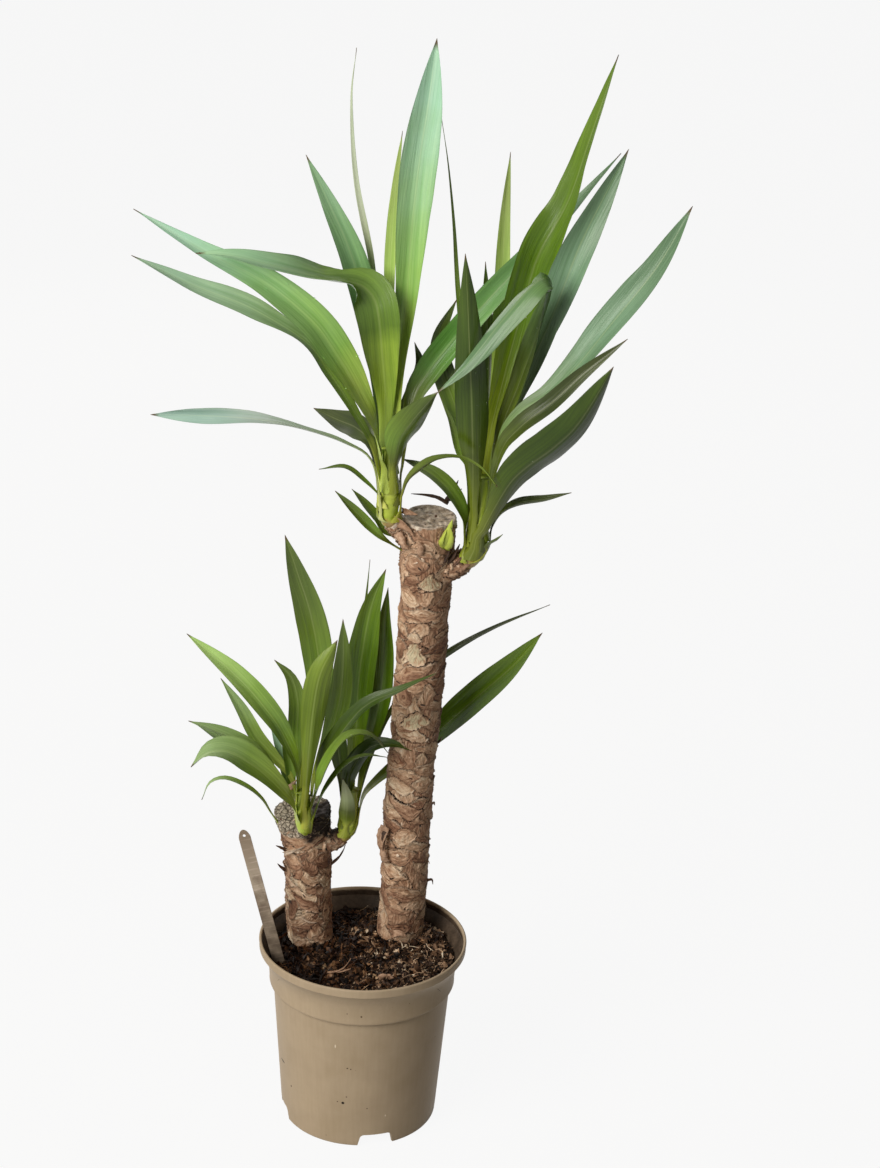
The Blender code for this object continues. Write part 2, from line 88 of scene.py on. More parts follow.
def node(tree, kind, feeds=(), stops=(), **settings):
    """Adds a node; a kind with no other prefix is a shader node. A setting is a property, or a socket's
    value if its name is a socket's; stops are the places and hex colours of a colour ramp."""
    made = tree.nodes.new(kind if "Node" in kind else "ShaderNode" + kind)
    for name, value in settings.items():
        if hasattr(made, name):
            setattr(made, name, value)
        else:
            made.inputs[name.replace("_", " ")].default_value = value
    for _ in stops[2:]:
        made.color_ramp.elements.new(1)
    for index, (place, colour) in enumerate(stops):
        element = made.color_ramp.elements[index]
        element.position, element.color = place, linear(colour)
    fill(tree, made, feeds)
    return made


def placed(name, data):
    """An object in the scene."""
    made = bpy.data.objects.new(name, data)
    bpy.context.scene.collection.objects.link(made)
    return made


def piece_of(name, verts, faces, finish, shade=True):
    """A mesh object of its own, from points in millimetres, with one finish."""
    mesh = bpy.data.meshes.new(name)
    mesh.from_pydata([Vector(point) * MM for point in verts], [], faces)
    mesh.materials.append(finish)
    mesh.polygons.foreach_set("use_smooth", [shade] * len(mesh.polygons))
    return placed(name, mesh)


def outward(made, weld=0):
    """Turns every face of a closed shell outwards, and first joins points that are closer than weld."""
    shape = bmesh.new()
    shape.from_mesh(made.data)
    if weld:
        bmesh.ops.remove_doubles(shape, verts=shape.verts, dist=weld * MM)
    bmesh.ops.recalc_face_normals(shape, faces=shape.faces)
    shape.to_mesh(made.data)
    shape.free()


def baked(made):
    """Turns an object's modifiers into plain mesh."""
    graph = bpy.context.evaluated_depsgraph_get()
    mesh = bpy.data.meshes.new_from_object(made.evaluated_get(graph))
    made.modifiers.clear()
    made.data = mesh


def keep(made, slot_name, *cad_nodes):
    """Puts a finished piece on the one body, and hides the CAD nodes that it stands for."""
    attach(made, "root")
    if cad_nodes:
        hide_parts(*cad_nodes)


def arc(middle, radius, start, stop, steps):
    """Points round part of a circle in an outline, in degrees."""
    turns = [math.radians(start + (stop - start) * step / steps) for step in range(steps + 1)]
    return [(middle[0] + radius * math.cos(turn), middle[1] + radius * math.sin(turn)) for turn in turns]


def flare(height):
    """The collar's outside: nearly straight over the step, then curving out to the lip."""
    rise = (height - STEP_HIGH - 3) / (POT_TOP - 8 - STEP_HIGH - 3)
    return 76 + 1.2 * rise + 6.6 * rise**3.2


def moulded_pp(name, soiled_and_shaded):
    """Polypropylene with matt pigment: satin, a faint orange-peel from the mould and a few dark specks.
    The inside of the collar is darkened from a thumb's width below the lip down: potting soil that has
    dried on it, and painted shade."""
    made, tree, shader = finish_named(name)
    place = node(tree, "TexCoord").outputs["Object"]
    cloud = node(tree, "TexNoise", [("Vector", place)], Scale=28, Detail=4, Roughness=0.6)
    tone = node(
        tree, "ValToRGB", [("Fac", cloud)], stops=[(0.3, "#ae9c82"), (0.5, "#b3a188"), (0.72, "#b9a78d")]
    )
    flow = node(tree, "Mapping", [("Vector", place)], Scale=(420, 420, 14))
    streak = node(tree, "TexNoise", [("Vector", flow)], Scale=1, Detail=2)
    streaks = node(tree, "ValToRGB", [("Fac", streak)], stops=[(0.3, "#adadad"), (0.7, "#cacaca")])
    streaked = node(
        tree, "Mix", [(0, 0.25), (6, tone), (7, streaks)], data_type="RGBA", blend_type="SOFT_LIGHT"
    )
    speck = node(tree, "TexVoronoi", [("Vector", place)], Scale=46)
    specks = node(tree, "ValToRGB", [("Fac", speck)], stops=[(0.03, "#6a5a48"), (0.05, "#ffffff")])
    marked = node(tree, "Mix", [(0, 1), (6, streaked), (7, specks)], data_type="RGBA", blend_type="MULTIPLY")
    if not soiled_and_shaded:
        # Scuffs and splashes on the wall: how far right, how high, how wide and tall, and their colour.
        for right, high, width, tall, colour in (
            (-10.8, 42.6, 3, 3, "#17110c"), (-15.3, 43.2, 1.4, 1.4, "#54463a"), (-8, 49, 1.4, 1.4, "#54463a"),
            (-7.8, 77.6, 1.8, 1.4, "#4a3d31"), (-5, 77, 1.4, 1.4, "#4a3d31"), (-18, 97.8, 1.2, 4, "#e3d8c3"),
            (-62.4, 55.5, 4, 1.8, "#2b2119"), (-8.9, 133, 1.2, 1.2, "#5b4c3d"), (9, 38, 1.6, 1.2, "#6a5b4a"),
            (24, 29, 1.2, 2.4, "#dfd3bd"),
        ):
            flat = node(
                tree, "VectorMath", [(0, place), (1, (right / 1000, 0, high / 1000))], operation="SUBTRACT"
            )
            sized = node(
                tree, "VectorMath", [(0, flat), (1, (2000 / width, 0, 2000 / tall))], operation="MULTIPLY"
            )
            near = node(tree, "VectorMath", [(0, sized)], operation="LENGTH")
            spot = node(tree, "ValToRGB", [("Fac", near)], stops=[(0.6, "#ffffff"), (1, "#000000")])
            marked = node(tree, "Mix", [(0, spot), (6, marked), (7, colour)], data_type="RGBA")
    else:
        # Dried earth and painted shade, from a thumb's width below the lip down.
        earth = node(tree, "TexNoise", [("Vector", place)], Scale=90, Detail=4, Roughness=0.7)
        high = node(tree, "SeparateXYZ", [("Vector", place)]).outputs["Z"]
        below = node(tree, "MapRange", [("Value", high), ("From Min", 0.1595), ("From Max", 0.1565)])
        caked = node(tree, "Math", [(0, earth), (1, below)], operation="MULTIPLY")
        amount = node(tree, "ValToRGB", [("Fac", caked)], stops=[(0.08, "#000000"), (0.36, "#f8f8f8")])
        mud_and_shade = node(tree, "ValToRGB", [("Fac", earth)], stops=[(0.38, "#2a1f18"), (0.68, "#54463a")])
        marked = node(tree, "Mix", [(0, amount), (6, marked), (7, mud_and_shade)], data_type="RGBA")
    peel = node(tree, "TexNoise", [("Vector", place)], Scale=900, Detail=2)
    bump = node(tree, "Bump", [("Height", peel)], Strength=0.12, Distance=0.0002)
    fill(
        tree, shader,
        [("Base Color", marked), ("Roughness", 0.5), ("Specular IOR Level", 0.14), ("Normal", bump)],
    )
    return made


def pot():
    """The pot's outline spun round its axis, with four notches and six drain holes cut from it."""
    wall_at = lambda height: FOOT + (STEP_WIDE - FOOT) * height / STEP_HIGH
    collar = [(flare(height), height) for height in (125, 129, 133, 137, 141, 144, 147, 149.5, 151.5, 153)]
    outside = arc((FOOT - 1.5, 1.5), 1.5, -90, 0, 4)
    outside += [(wall_at(height), height) for height in (6, 40, 80, 118)]
    outside += [(STEP_WIDE, STEP_HIGH - 0.8), (STEP_WIDE, STEP_HIGH), (75.1, STEP_HIGH + 0.1)]
    outside += [(75.8, STEP_HIGH + 0.6), (76.1, 123.4), *collar]
    lip = [(84.7, 156.2)] + arc((83.8, 158.8), 1.2, 0, 140, 7)
    inside = [(82.4, 158)] + [(radius - WALL, height) for radius, height in reversed(collar)]
    ringed = []
    for (wide, high), (narrow, low) in zip(inside, inside[1:]):
        ringed += [(wide, high), ((wide + narrow) / 2 - 0.35, (high + low) / 2)]
    inside = ringed + [(74, 125), (STEP_WIDE - WALL, STEP_HIGH)]
    inside.append((wall_at(POT_FLOOR) - WALL, POT_FLOOR + 1))
    floor = [(wall_at(POT_FLOOR) - WALL - 1, POT_FLOOR), (0, POT_FLOOR)]
    under = [(0, 0), (17.2, 0), (18, 0.8), (18, 14), (FOOT - 3, 14), (FOOT - 3, 0.4), (FOOT - 2.6, 0)]
    outline = under + outside + lip + inside + floor
    shape = bmesh.new()
    corners = [shape.verts.new((radius * MM, 0, height * MM)) for radius, height in outline]
    edges = [shape.edges.new(pair) for pair in zip(corners, corners[1:])]
    bmesh.ops.spin(
        shape, geom=corners + edges, axis=(0, 0, 1), cent=(0, 0, 0), steps=POT_RINGS, angle=2 * math.pi
    )
    mesh = bpy.data.meshes.new("nursery_pot")
    shape.to_mesh(mesh)
    shape.free()
    made = placed("nursery_pot", mesh)
    outward(made, 0.01)
    cutters = []
    for degrees in (-75, 15, 105, 195):
        corners = [(-6, -16.5, -8), (6, -16.5, -8), (6, 16.5, -8), (-6, 16.5, -8)]
        corners += [(-6, -12.5, 11), (6, -12.5, 11), (6, 12.5, 11), (-6, 12.5, 11)]
        sides = [(0, 3, 2, 1), (4, 5, 6, 7), (0, 1, 5, 4), (1, 2, 6, 5), (2, 3, 7, 6), (3, 0, 4, 7)]
        notch = piece_of("notch", corners, sides, None)
        at_foot = Matrix.Translation((FOOT * MM, 0, 0))
        notch.data.transform(Matrix.Rotation(math.radians(degrees), 4, "Z") @ at_foot)
        rounding = notch.modifiers.new("rounding", "BEVEL")
        rounding.width, rounding.segments, rounding.limit_method = 3 * MM, 5, "NONE"
        cutters.append(notch)
    for index in range(6):
        turn = math.radians(60 * index)
        place = Vector((DRAIN_RING * math.cos(turn), DRAIN_RING * math.sin(turn), 15)) * MM
        bpy.ops.mesh.primitive_cylinder_add(vertices=32, radius=5 * MM, depth=10 * MM, location=place)
        cutters.append(bpy.context.object)
    for cutter in cutters:
        cut = made.modifiers.new("opening", "BOOLEAN")
        cut.object, cut.operation, cut.solver = cutter, "DIFFERENCE", "EXACT"
    baked(made)
    for cutter in cutters:
        bpy.data.objects.remove(cutter)
    made.data.materials.clear()
    made.data.materials.append(moulded_pp("taupe moulded polypropylene", False))
    made.data.materials.append(moulded_pp("soil-stained polypropylene", True))
    # Faces inside the pot take the second finish, with its dried soil and painted shade.
    for face in made.data.polygons:
        x, y, z = face.center / MM
        edge = wall_at(z) if z < STEP_HIGH else min(flare(max(z, STEP_HIGH + 3)), 84)
        inner = POT_FLOOR - 0.1 < z < POT_TOP - 0.4 and math.hypot(x, y) < edge - 1.2
        face.material_index = 1 if inner else 0
    made.data.shade_smooth()
    made.data.set_sharp_from_angle(angle=math.radians(35))
    keep(made, "taupe_plastic", "pot")


pot()


# --- Soil --------------------------------------------------------------------------------------------
# Damp peat and bark compost, nearly black, heaped against both canes. Bark chips, crumbs, root fibres
# and a few straws lie loose on it, all but where the canes stand.

SOIL_EDGE = 143
SOIL_WIDE = 74.6
SOIL_UNDER = 128
# Each heap and each cane's clearing: its place, then its height and reach, or its radius.
SOIL_HEAPS = ((31, 33, 7, 35), (-45, 22, 6, 32))
CLEARINGS = ((30, 33, 20), (-45, 22, 19.5))


def soil_height(x, y):
    """The soil's surface at a place: level at the wall, heaped round the canes, lumpy all over."""
    place = Vector((x, y, 3.7))
    lift = 3.4 * noise.noise(place / 12) + 2.8 * noise.noise(place / 5) + 1.0 * noise.noise(place / 2)
    for heap_x, heap_y, height, reach in SOIL_HEAPS:
        lift += height * math.exp(-((x - heap_x) ** 2 + (y - heap_y) ** 2) / reach**2)
    return SOIL_EDGE - 0.8 + lift


def damp_and_shaded(tree, place, colour):
    """Darkens the soil to black in wet clumps, and with painted shade that deepens towards the left wall."""
    clump = node(tree, "TexNoise", [("Vector", place)], Scale=85, Detail=2, Roughness=0.55)
    side = node(tree, "SeparateXYZ", [("Vector", place)])
    # The slant along X is painted shade, darkest by the left wall; the clump noise is the real damp.
    damp_and_shade_lean = node(tree, "Math", [(0, side.outputs["X"]), (2, clump), (1, 2.6)], operation="MULTIPLY_ADD")
    damp = node(
        tree, "ValToRGB", [("Fac", damp_and_shade_lean)], stops=[(0.38, "#5e4632"), (0.5, "#d2bda8"), (0.6, "#ffffff")]
    )
    return node(tree, "Mix", [(0, 1), (6, colour), (7, damp)], data_type="RGBA", blend_type="MULTIPLY")


def compost():
    """Peat: matt, very dark and damp, flecked with brown fibre."""
    made, tree, shader = finish_named("damp peat compost")
    place = node(tree, "TexCoord").outputs["Object"]
    grit = node(tree, "TexNoise", [("Vector", place)], Scale=420, Detail=4, Roughness=0.7)
    tone = node(
        tree, "ValToRGB", [("Fac", grit)], stops=[(0.35, "#120d09"), (0.55, "#241a13"), (0.7, "#463628")]
    )
    bump = node(tree, "Bump", [("Height", grit)], Strength=0.9, Distance=0.0012)
    fill(
        tree, shader,
        [
            ("Base Color", damp_and_shaded(tree, place, tone)), ("Roughness", 0.85), ("Specular IOR Level", 0.1),
            ("Normal", bump),
        ],
    )
    return made


def chips():
    """Composted bark and root: each piece has its own brown, from wet black to dry tan."""
    made, tree, shader = finish_named("loose bark and root")
    tone = node(tree, "Attribute", attribute_name="tone").outputs["Fac"]
    place = node(tree, "TexCoord").outputs["Object"]
    body = node(
        tree, "ValToRGB", [("Fac", tone)],
        stops=[
            (0, "#0f0a07"), (0.35, "#2f2016"), (0.6, "#5a4433"), (0.8, "#8c6f57"), (0.94, "#bb9d80"),
            (1, "#ecdcc2"),
        ],
    )
    grain = node(tree, "TexNoise", [("Vector", place)], Scale=700, Detail=2)
    grained = node(tree, "ValToRGB", [("Fac", grain)], stops=[(0.3, "#808080"), (0.7, "#efefef")])
    mixed = node(
        tree, "Mix", [(0, 0.7), (6, body), (7, grained)], data_type="RGBA", blend_type="SOFT_LIGHT"
    )
    bump = node(tree, "Bump", [("Height", grain)], Strength=0.5, Distance=0.0005)
    fill(
        tree, shader,
        [
            ("Base Color", damp_and_shaded(tree, place, mixed)), ("Roughness", 0.45), ("Specular IOR Level", 0.12),
            ("Normal", bump),
        ],
    )
    return made


def scatter_tree():
    """Strews copies of a shape over a surface, each with its own turn, size and tone."""
    tree = bpy.data.node_groups.new("strewn pieces", "GeometryNodeTree")
    face = tree.interface
    face.new_socket("Ground", in_out="INPUT", socket_type="NodeSocketGeometry")
    for name, kind in (
        ("Shape", "NodeSocketObject"), ("Per square metre", "NodeSocketFloat"), ("Seed", "NodeSocketInt"),
        ("Least size", "NodeSocketVector"), ("Most size", "NodeSocketVector"), ("Tumble", "NodeSocketFloat"),
        ("Lift", "NodeSocketFloat"), ("Finish", "NodeSocketMaterial"),
    ):
        face.new_socket(name, in_out="INPUT", socket_type=kind)
    face.new_socket("Pieces", in_out="OUTPUT", socket_type="NodeSocketGeometry")
    given = node(tree, "NodeGroupInput").outputs
    spread = node(
        tree, "GeometryNodeDistributePointsOnFaces",
        [("Mesh", given["Ground"]), ("Density", given["Per square metre"]), ("Seed", given["Seed"])],
    )
    least = node(tree, "VectorMath", [(0, given["Tumble"]), (1, (-1, -1, 0))], operation="MULTIPLY")
    most = node(
        tree, "VectorMath", [(0, given["Tumble"]), (1, (1, 1, 0)), (2, (0, 0, 2 * math.pi))],
        operation="MULTIPLY_ADD",
    )
    turn = node(
        tree, "FunctionNodeRandomValue", [(0, least), (1, most), (8, given["Seed"])],
        data_type="FLOAT_VECTOR",
    )
    turned = node(tree, "FunctionNodeEulerToRotation", [(0, turn)])
    both = node(
        tree, "FunctionNodeRotateRotation",
        [("Rotation", spread.outputs["Rotation"]), ("Rotate By", turned)], rotation_space="LOCAL",
    )
    size = node(
        tree, "FunctionNodeRandomValue",
        [(0, given["Least size"]), (1, given["Most size"]), (8, given["Seed"])], data_type="FLOAT_VECTOR",
    )
    shape = node(tree, "GeometryNodeObjectInfo", [("Object", given["Shape"])])
    copies = node(
        tree, "GeometryNodeInstanceOnPoints",
        [
            ("Points", spread.outputs["Points"]), ("Instance", shape.outputs["Geometry"]),
            ("Rotation", both), ("Scale", size),
        ],
    )
    raise_by = node(tree, "CombineXYZ", [("Z", given["Lift"])])
    lifted = node(
        tree, "GeometryNodeTranslateInstances", [("Instances", copies), ("Translation", raise_by)],
        Local_Space=True,
    )
    tone = node(tree, "FunctionNodeRandomValue", [(8, given["Seed"])], data_type="FLOAT")
    toned = node(
        tree, "GeometryNodeStoreNamedAttribute", [("Geometry", lifted), ("Value", tone)], data_type="FLOAT",
        domain="INSTANCE", Name="tone",
    )
    real = node(tree, "GeometryNodeRealizeInstances", [(0, toned)])
    coated = node(tree, "GeometryNodeSetMaterial", [("Geometry", real), ("Material", given["Finish"])])
    node(tree, "NodeGroupOutput", [(0, coated)])
    return tree


def strew(name, ground, tree, slot_name, **given):
    """The pieces strewn over a surface, as one plain mesh. Sizes are in millimetres."""
    made = placed(name, ground.data.copy())
    strewn = made.modifiers.new("strewn", "NODES")
    strewn.node_group = tree
    for socket in tree.interface.items_tree:
        wanted = given.get(socket.name.replace(" ", "_").lower())
        if socket.name in ("Least size", "Most size"):
            wanted = [size * MM for size in wanted]
        if socket.name == "Lift":
            wanted *= MM
        if wanted is not None:
            strewn[socket.identifier] = wanted
    baked(made)
    keep(made, slot_name)


def splinter(name, rings, roughness, seed, taper=1.0):
    """A rough lump one unit long, to be stretched into a chip, a crumb, a flake or a drop."""
    shape = bmesh.new()
    bmesh.ops.create_icosphere(shape, subdivisions=rings, radius=0.5)
    for vertex in shape.verts:
        vertex.co *= 1 + roughness * noise.noise(vertex.co * 2.7 + Vector((seed, 0, 0)))
        vertex.co.y *= 1 - taper * abs(vertex.co.x)
    mesh = bpy.data.meshes.new(name)
    shape.to_mesh(mesh)
    shape.free()
    return bpy.data.objects.new(name, mesh)


def fibre(name, bend, thick):
    """A curved hair of root one unit long: a three-sided thread, thin at both ends."""
    rings = 7
    verts = []
    for step in range(rings):
        t = step / (rings - 1)
        middle = Vector((t - 0.5, bend * (t - t * t) * 4 - bend / 2, 0.25 * bend * math.sin(5 * t)))
        reach = thick * (0.35 + 0.65 * math.sin(math.pi * t))
        for side in range(3):
            turn = 2 * math.pi * side / 3
            verts.append(middle + Vector((0, math.cos(turn), math.sin(turn))) * reach)
    faces = [
        (3 * row + side, 3 * row + (side + 1) % 3, 3 * row + 3 + (side + 1) % 3, 3 * row + 3 + side)
        for row in range(rings - 1) for side in range(3)
    ]
    faces += [(0, 2, 1), tuple(3 * rings - 3 + side for side in range(3))]
    mesh = bpy.data.meshes.new(name)
    mesh.from_pydata(verts, [], faces)
    return bpy.data.objects.new(name, mesh)


def clear_of_canes(place):
    """Whether loose pieces lie here, outside both canes."""
    return all(math.hypot(place[0] - x, place[1] - y) > radius for x, y, radius in CLEARINGS)


def soil():
    """The bed of compost, closed underneath, and what lies loose on it."""
    rings, spokes = 88, 200
    verts = [(0, 0, soil_height(0, 0))]
    for ring in range(1, rings + 1):
        reach = SOIL_WIDE * ring / rings
        for spoke in range(spokes):
            turn = 2 * math.pi * spoke / spokes
            x, y = reach * math.cos(turn), reach * math.sin(turn)
            verts.append((x, y, soil_height(x, y)))
    verts += [(x * 0.97, y * 0.97, SOIL_UNDER) for x, y, _ in verts[-spokes:]] + [(0, 0, SOIL_UNDER)]
    faces = [(0, 1 + spoke, 1 + (spoke + 1) % spokes) for spoke in range(spokes)]
    for ring in range(rings):
        first = 1 + ring * spokes
        for spoke in range(spokes):
            there = (spoke + 1) % spokes
            faces.append((first + spoke, first + spokes + spoke, first + spokes + there, first + there))
    last = len(verts) - 1
    first = 1 + rings * spokes
    faces += [(first + spoke, last, first + (spoke + 1) % spokes) for spoke in range(spokes)]
    bed = piece_of("soil_bed", verts, faces, compost())
    outward(bed)
    keep(bed, "potting_soil", "soil")

    top = [face for face in faces[: 1 + (rings - 2) * spokes] if clear_of_canes(verts[face[0]])]
    ground = piece_of("soil_ground", verts, top, compost())
    tree, loose = scatter_tree(), chips()
    for name, shape, density, seed, least, most, tumble, lift in (
        ("bark_chips", splinter("chip", 1, 0.9, 1.0), 52000, 3, (4, 2.4, 1.2), (13, 7, 3.4), 1.1, 0.7),
        ("soil_crumbs", splinter("crumb", 1, 0.7, 5.0), 270000, 11, (0.8, 0.7, 0.6), (4.2, 3, 2.4), 3, 0.6),
        ("root_fibres", fibre("root", 0.32, 0.028), 52000, 23, (7, 8, 8), (20, 16, 16), 0.7, 1.8),
        ("straws", fibre("straw", 0.1, 0.03), 6000, 31, (8, 10, 10), (20, 20, 20), 0.45, 1.8),
    ):
        strew(
            name, ground, tree, "potting_soil", shape=shape, finish=loose, per_square_metre=density,
            seed=seed, least_size=least, most_size=most, tumble=tumble, lift=lift,
        )
    bpy.data.objects.remove(ground)


soil()


# --- Plant label -------------------------------------------------------------------------------------
# A blank stick-in label of grey-brown polypropylene sheet, pushed into the soil inside the left of the
# rim. Its head is rounded to a blunt point with a punched hole; pale smears of lime cross it.

LABEL_WIDE, LABEL_LONG, LABEL_THICK, LABEL_EDGE = 9.5, 140, 0.8, 0.12
LABEL_TIP, LABEL_HEAD = Vector((-62, -22, 126)), Vector((-98, -12, 259))


def label_sheet():
    """Thin polypropylene sheet: satin, with dried water bars across it."""
    made, tree, shader = finish_named("grey polypropylene sheet")
    flat = node(tree, "UVMap", uv_map="strip")
    cloud = node(tree, "TexNoise", [("Vector", flat)], noise_dimensions="2D", Scale=0.12, Detail=3)
    body = node(
        tree, "ValToRGB", [("Fac", cloud)], stops=[(0.3, "#9c8e7e"), (0.5, "#a89b8a"), (0.7, "#b5a897")]
    )
    bars = node(tree, "Mapping", [("Vector", flat)], Scale=(0.5, 0.035, 1))
    bar = node(tree, "TexNoise", [("Vector", bars)], noise_dimensions="2D", Scale=1, Detail=2)
    lime = node(tree, "ValToRGB", [("Fac", bar)], stops=[(0.55, "#000000"), (0.66, "#b0b0b0")])
    limed = node(tree, "Mix", [(0, lime), (6, body), (7, "#d3c2b4")], data_type="RGBA")
    run = node(tree, "SeparateXYZ", [("Vector", flat)]).outputs["X"]
    smear = node(tree, "Math", [(0, cloud), (2, run), (1, 60)], operation="MULTIPLY_ADD")
    length = node(tree, "MapRange", [("Value", smear), ("From Max", LABEL_LONG + 60)])
    stain = node(
        tree, "ValToRGB", [("Fac", length)],
        stops=[(0.2, "#8f8a86"), (0.5, "#cdc8c3"), (0.66, "#ffffff"), (0.86, "#c8bfb8")],
    )
    aged = node(tree, "Mix", [(0, 1), (6, limed), (7, stain)], data_type="RGBA", blend_type="MULTIPLY")
    bump = node(tree, "Bump", [("Height", cloud)], Strength=0.2, Distance=0.0003)
    fill(
        tree, shader,
        [("Base Color", aged), ("Roughness", 0.5), ("Specular IOR Level", 0.25), ("Normal", bump)],
    )
    return made


def unroll(mesh, name, places):
    """Gives a mesh a flat map, from the place of each of its points on it."""
    flat = mesh.uv_layers.new(name=name)
    for loop in mesh.loops:
        flat.data[loop.index].uv = places[loop.vertex_index]


def label():
    """The label's outline and its hole, given a thickness and rounded edges, then leant in place."""
    half = LABEL_WIDE / 2
    head = LABEL_LONG - half * 1.5
    rim = [(0, -0.3), (3 * half, -half)]
    for step in range(1, 24):
        turn = math.pi * step / 24
        rim.append((head + 1.5 * half * math.sin(turn) ** 1.35, -half * math.cos(turn)))
    rim += [(3 * half, half), (0, 0.3)]
    curve = bpy.data.curves.new("stick_label", "CURVE")
    curve.dimensions, curve.fill_mode = "2D", "BOTH"
    curve.extrude, curve.bevel_depth = (LABEL_THICK / 2 - LABEL_EDGE) * MM, LABEL_EDGE * MM
    curve.bevel_resolution = 2
    hole = arc((head + half * 0.45, 0), 1.3, 0, 342, 19)
    for ring in (rim, hole):
        spline = curve.splines.new("POLY")
        spline.points.add(len(ring) - 1)
        spline.use_cyclic_u = True
        for point, (x, y) in zip(spline.points, ring):
            point.co = (x * MM, y * MM, 0, 1)
    outline = placed("label_outline", curve)
    graph = bpy.context.evaluated_depsgraph_get()
    mesh = bpy.data.meshes.new_from_object(outline.evaluated_get(graph))
    bpy.data.objects.remove(outline)
    made = placed("stick_label", mesh)
    outward(made, 0.005)
    while mesh.uv_layers:
        mesh.uv_layers.remove(mesh.uv_layers[0])
    unroll(mesh, "strip", [(vertex.co / MM).xy for vertex in mesh.vertices])
    along = (LABEL_HEAD - LABEL_TIP).normalized()
    across = along.cross(Vector((0, -1, 0))).normalized()
    turn = Matrix((along, across, along.cross(across))).transposed().to_4x4()
    mesh.transform(Matrix.Translation(LABEL_TIP * MM) @ turn)
    mesh.materials.clear()
    mesh.materials.append(label_sheet())
    keep(made, "grey_plastic", "plant_label")


label()


# --- Canes -------------------------------------------------------------------------------------------
# Two sawn lengths of trunk. Their bark is a patchwork of old leaf bases: broad overlapping scales whose
# torn rims curve up or down, tan at the rim with a painted highlight, darkened with painted shadow in
# the gaps, with fine fibres fanning over each. The sawn top is sealed with grey wax.

# Places up the middle of each cane and each knob, with the radius there.
TALL_CANE = (
    (29, 37, 60, 18), (30, 33, 150, 19.5), (32, 30, 193, 19.3), (32, 26, 228, 19.8),
    (34, 20, 304, 19.5), (36, 17, 333, 19.3), (38, 13, 379, 20.2), (40, 9, 433, 20),
    (41, 6, 468, 20.2), (41.5, 2, 510, 21.5), (42, 0, 532, 21),
)
SHORT_CANE = (
    (-38, 20, 70, 17), (-45, 22, 155, 18.8), (-46, 22, 180, 19.3), (-47, 22, 199, 19),
    (-48, 22, 227, 20), (-50, 22, 245, 21), (-52, 22, 257, 23), (-53, 22, 265, 23),
)
TALL_KNOBS = (
    ((32, -1, 512, 10), (20, -5, 524, 9), (14, -7.2, 530.5, 7.5)),
    ((42, 3, 486, 14), (60, 0, 492, 11), (71, -4, 499, 9)),
)
SHORT_KNOBS = (
    ((-50, 12, 251, 8), (-48.8, -5, 261, 5.5)),
    ((-42, 19, 238, 12), (-27, 16, 240, 8.5), (-20, 14.5, 245.5, 7)),
)
ROW_STEP = 0.75
SCALE_SLACK = 26
UNDER_SOIL = 132


def smooth(value, low, high):
    """0 below low, 1 above high and an easy curve between."""
    share = min(max((value - low) / (high - low), 0), 1)
    return share * share * (3 - 2 * share)


def station(axis, level):
    """The middle and the radius of a stem this far up its axis."""
    for (*start, wide), (*stop, narrow) in zip(axis, axis[1:]):
        span = (Vector(stop) - Vector(start)).length
        if level <= span:
            break
        level -= span
    share = min(level / span, 1)
    return Vector(start).lerp(Vector(stop), share), wide + (narrow - wide) * share


def route_through(points, count):
    """Evenly spaced places along a smooth curve through the points."""
    ends = [2 * points[0] - points[1], *points, 2 * points[-1] - points[-2]]
    fine = []
    for before, start, stop, after in zip(ends, ends[1:], ends[2:], ends[3:]):
        for step in range(16):
            t = step / 16
            bend = (2 * before - 5 * start + 4 * stop - after) * t**2
            bend += (3 * start - before - 3 * stop + after) * t**3
            fine.append(0.5 * (2 * start + (stop - before) * t + bend))
    fine.append(points[-1].copy())
    run = [0]
    for here, there in zip(fine, fine[1:]):
        run.append(run[-1] + (there - here).length)
    places = []
    index = 0
    for step in range(count):
        wanted = run[-1] * step / (count - 1)
        while index < len(fine) - 2 and run[index + 1] < wanted:
            index += 1
        share = (wanted - run[index]) / (run[index + 1] - run[index])
        places.append(fine[index].lerp(fine[index + 1], share))
    return places, run[-1]


def heading(places, step):
    """The way that a route runs at one of its places."""
    return (places[min(step + 1, len(places) - 1)] - places[max(step - 1, 0)]).normalized()


def tell(made, **told):
    """Stores what each point of a piece tells its finish."""
    for name, values in told.items():
        made.data.attributes.new(name, "FLOAT", "POINT").data.foreach_set("value", values)


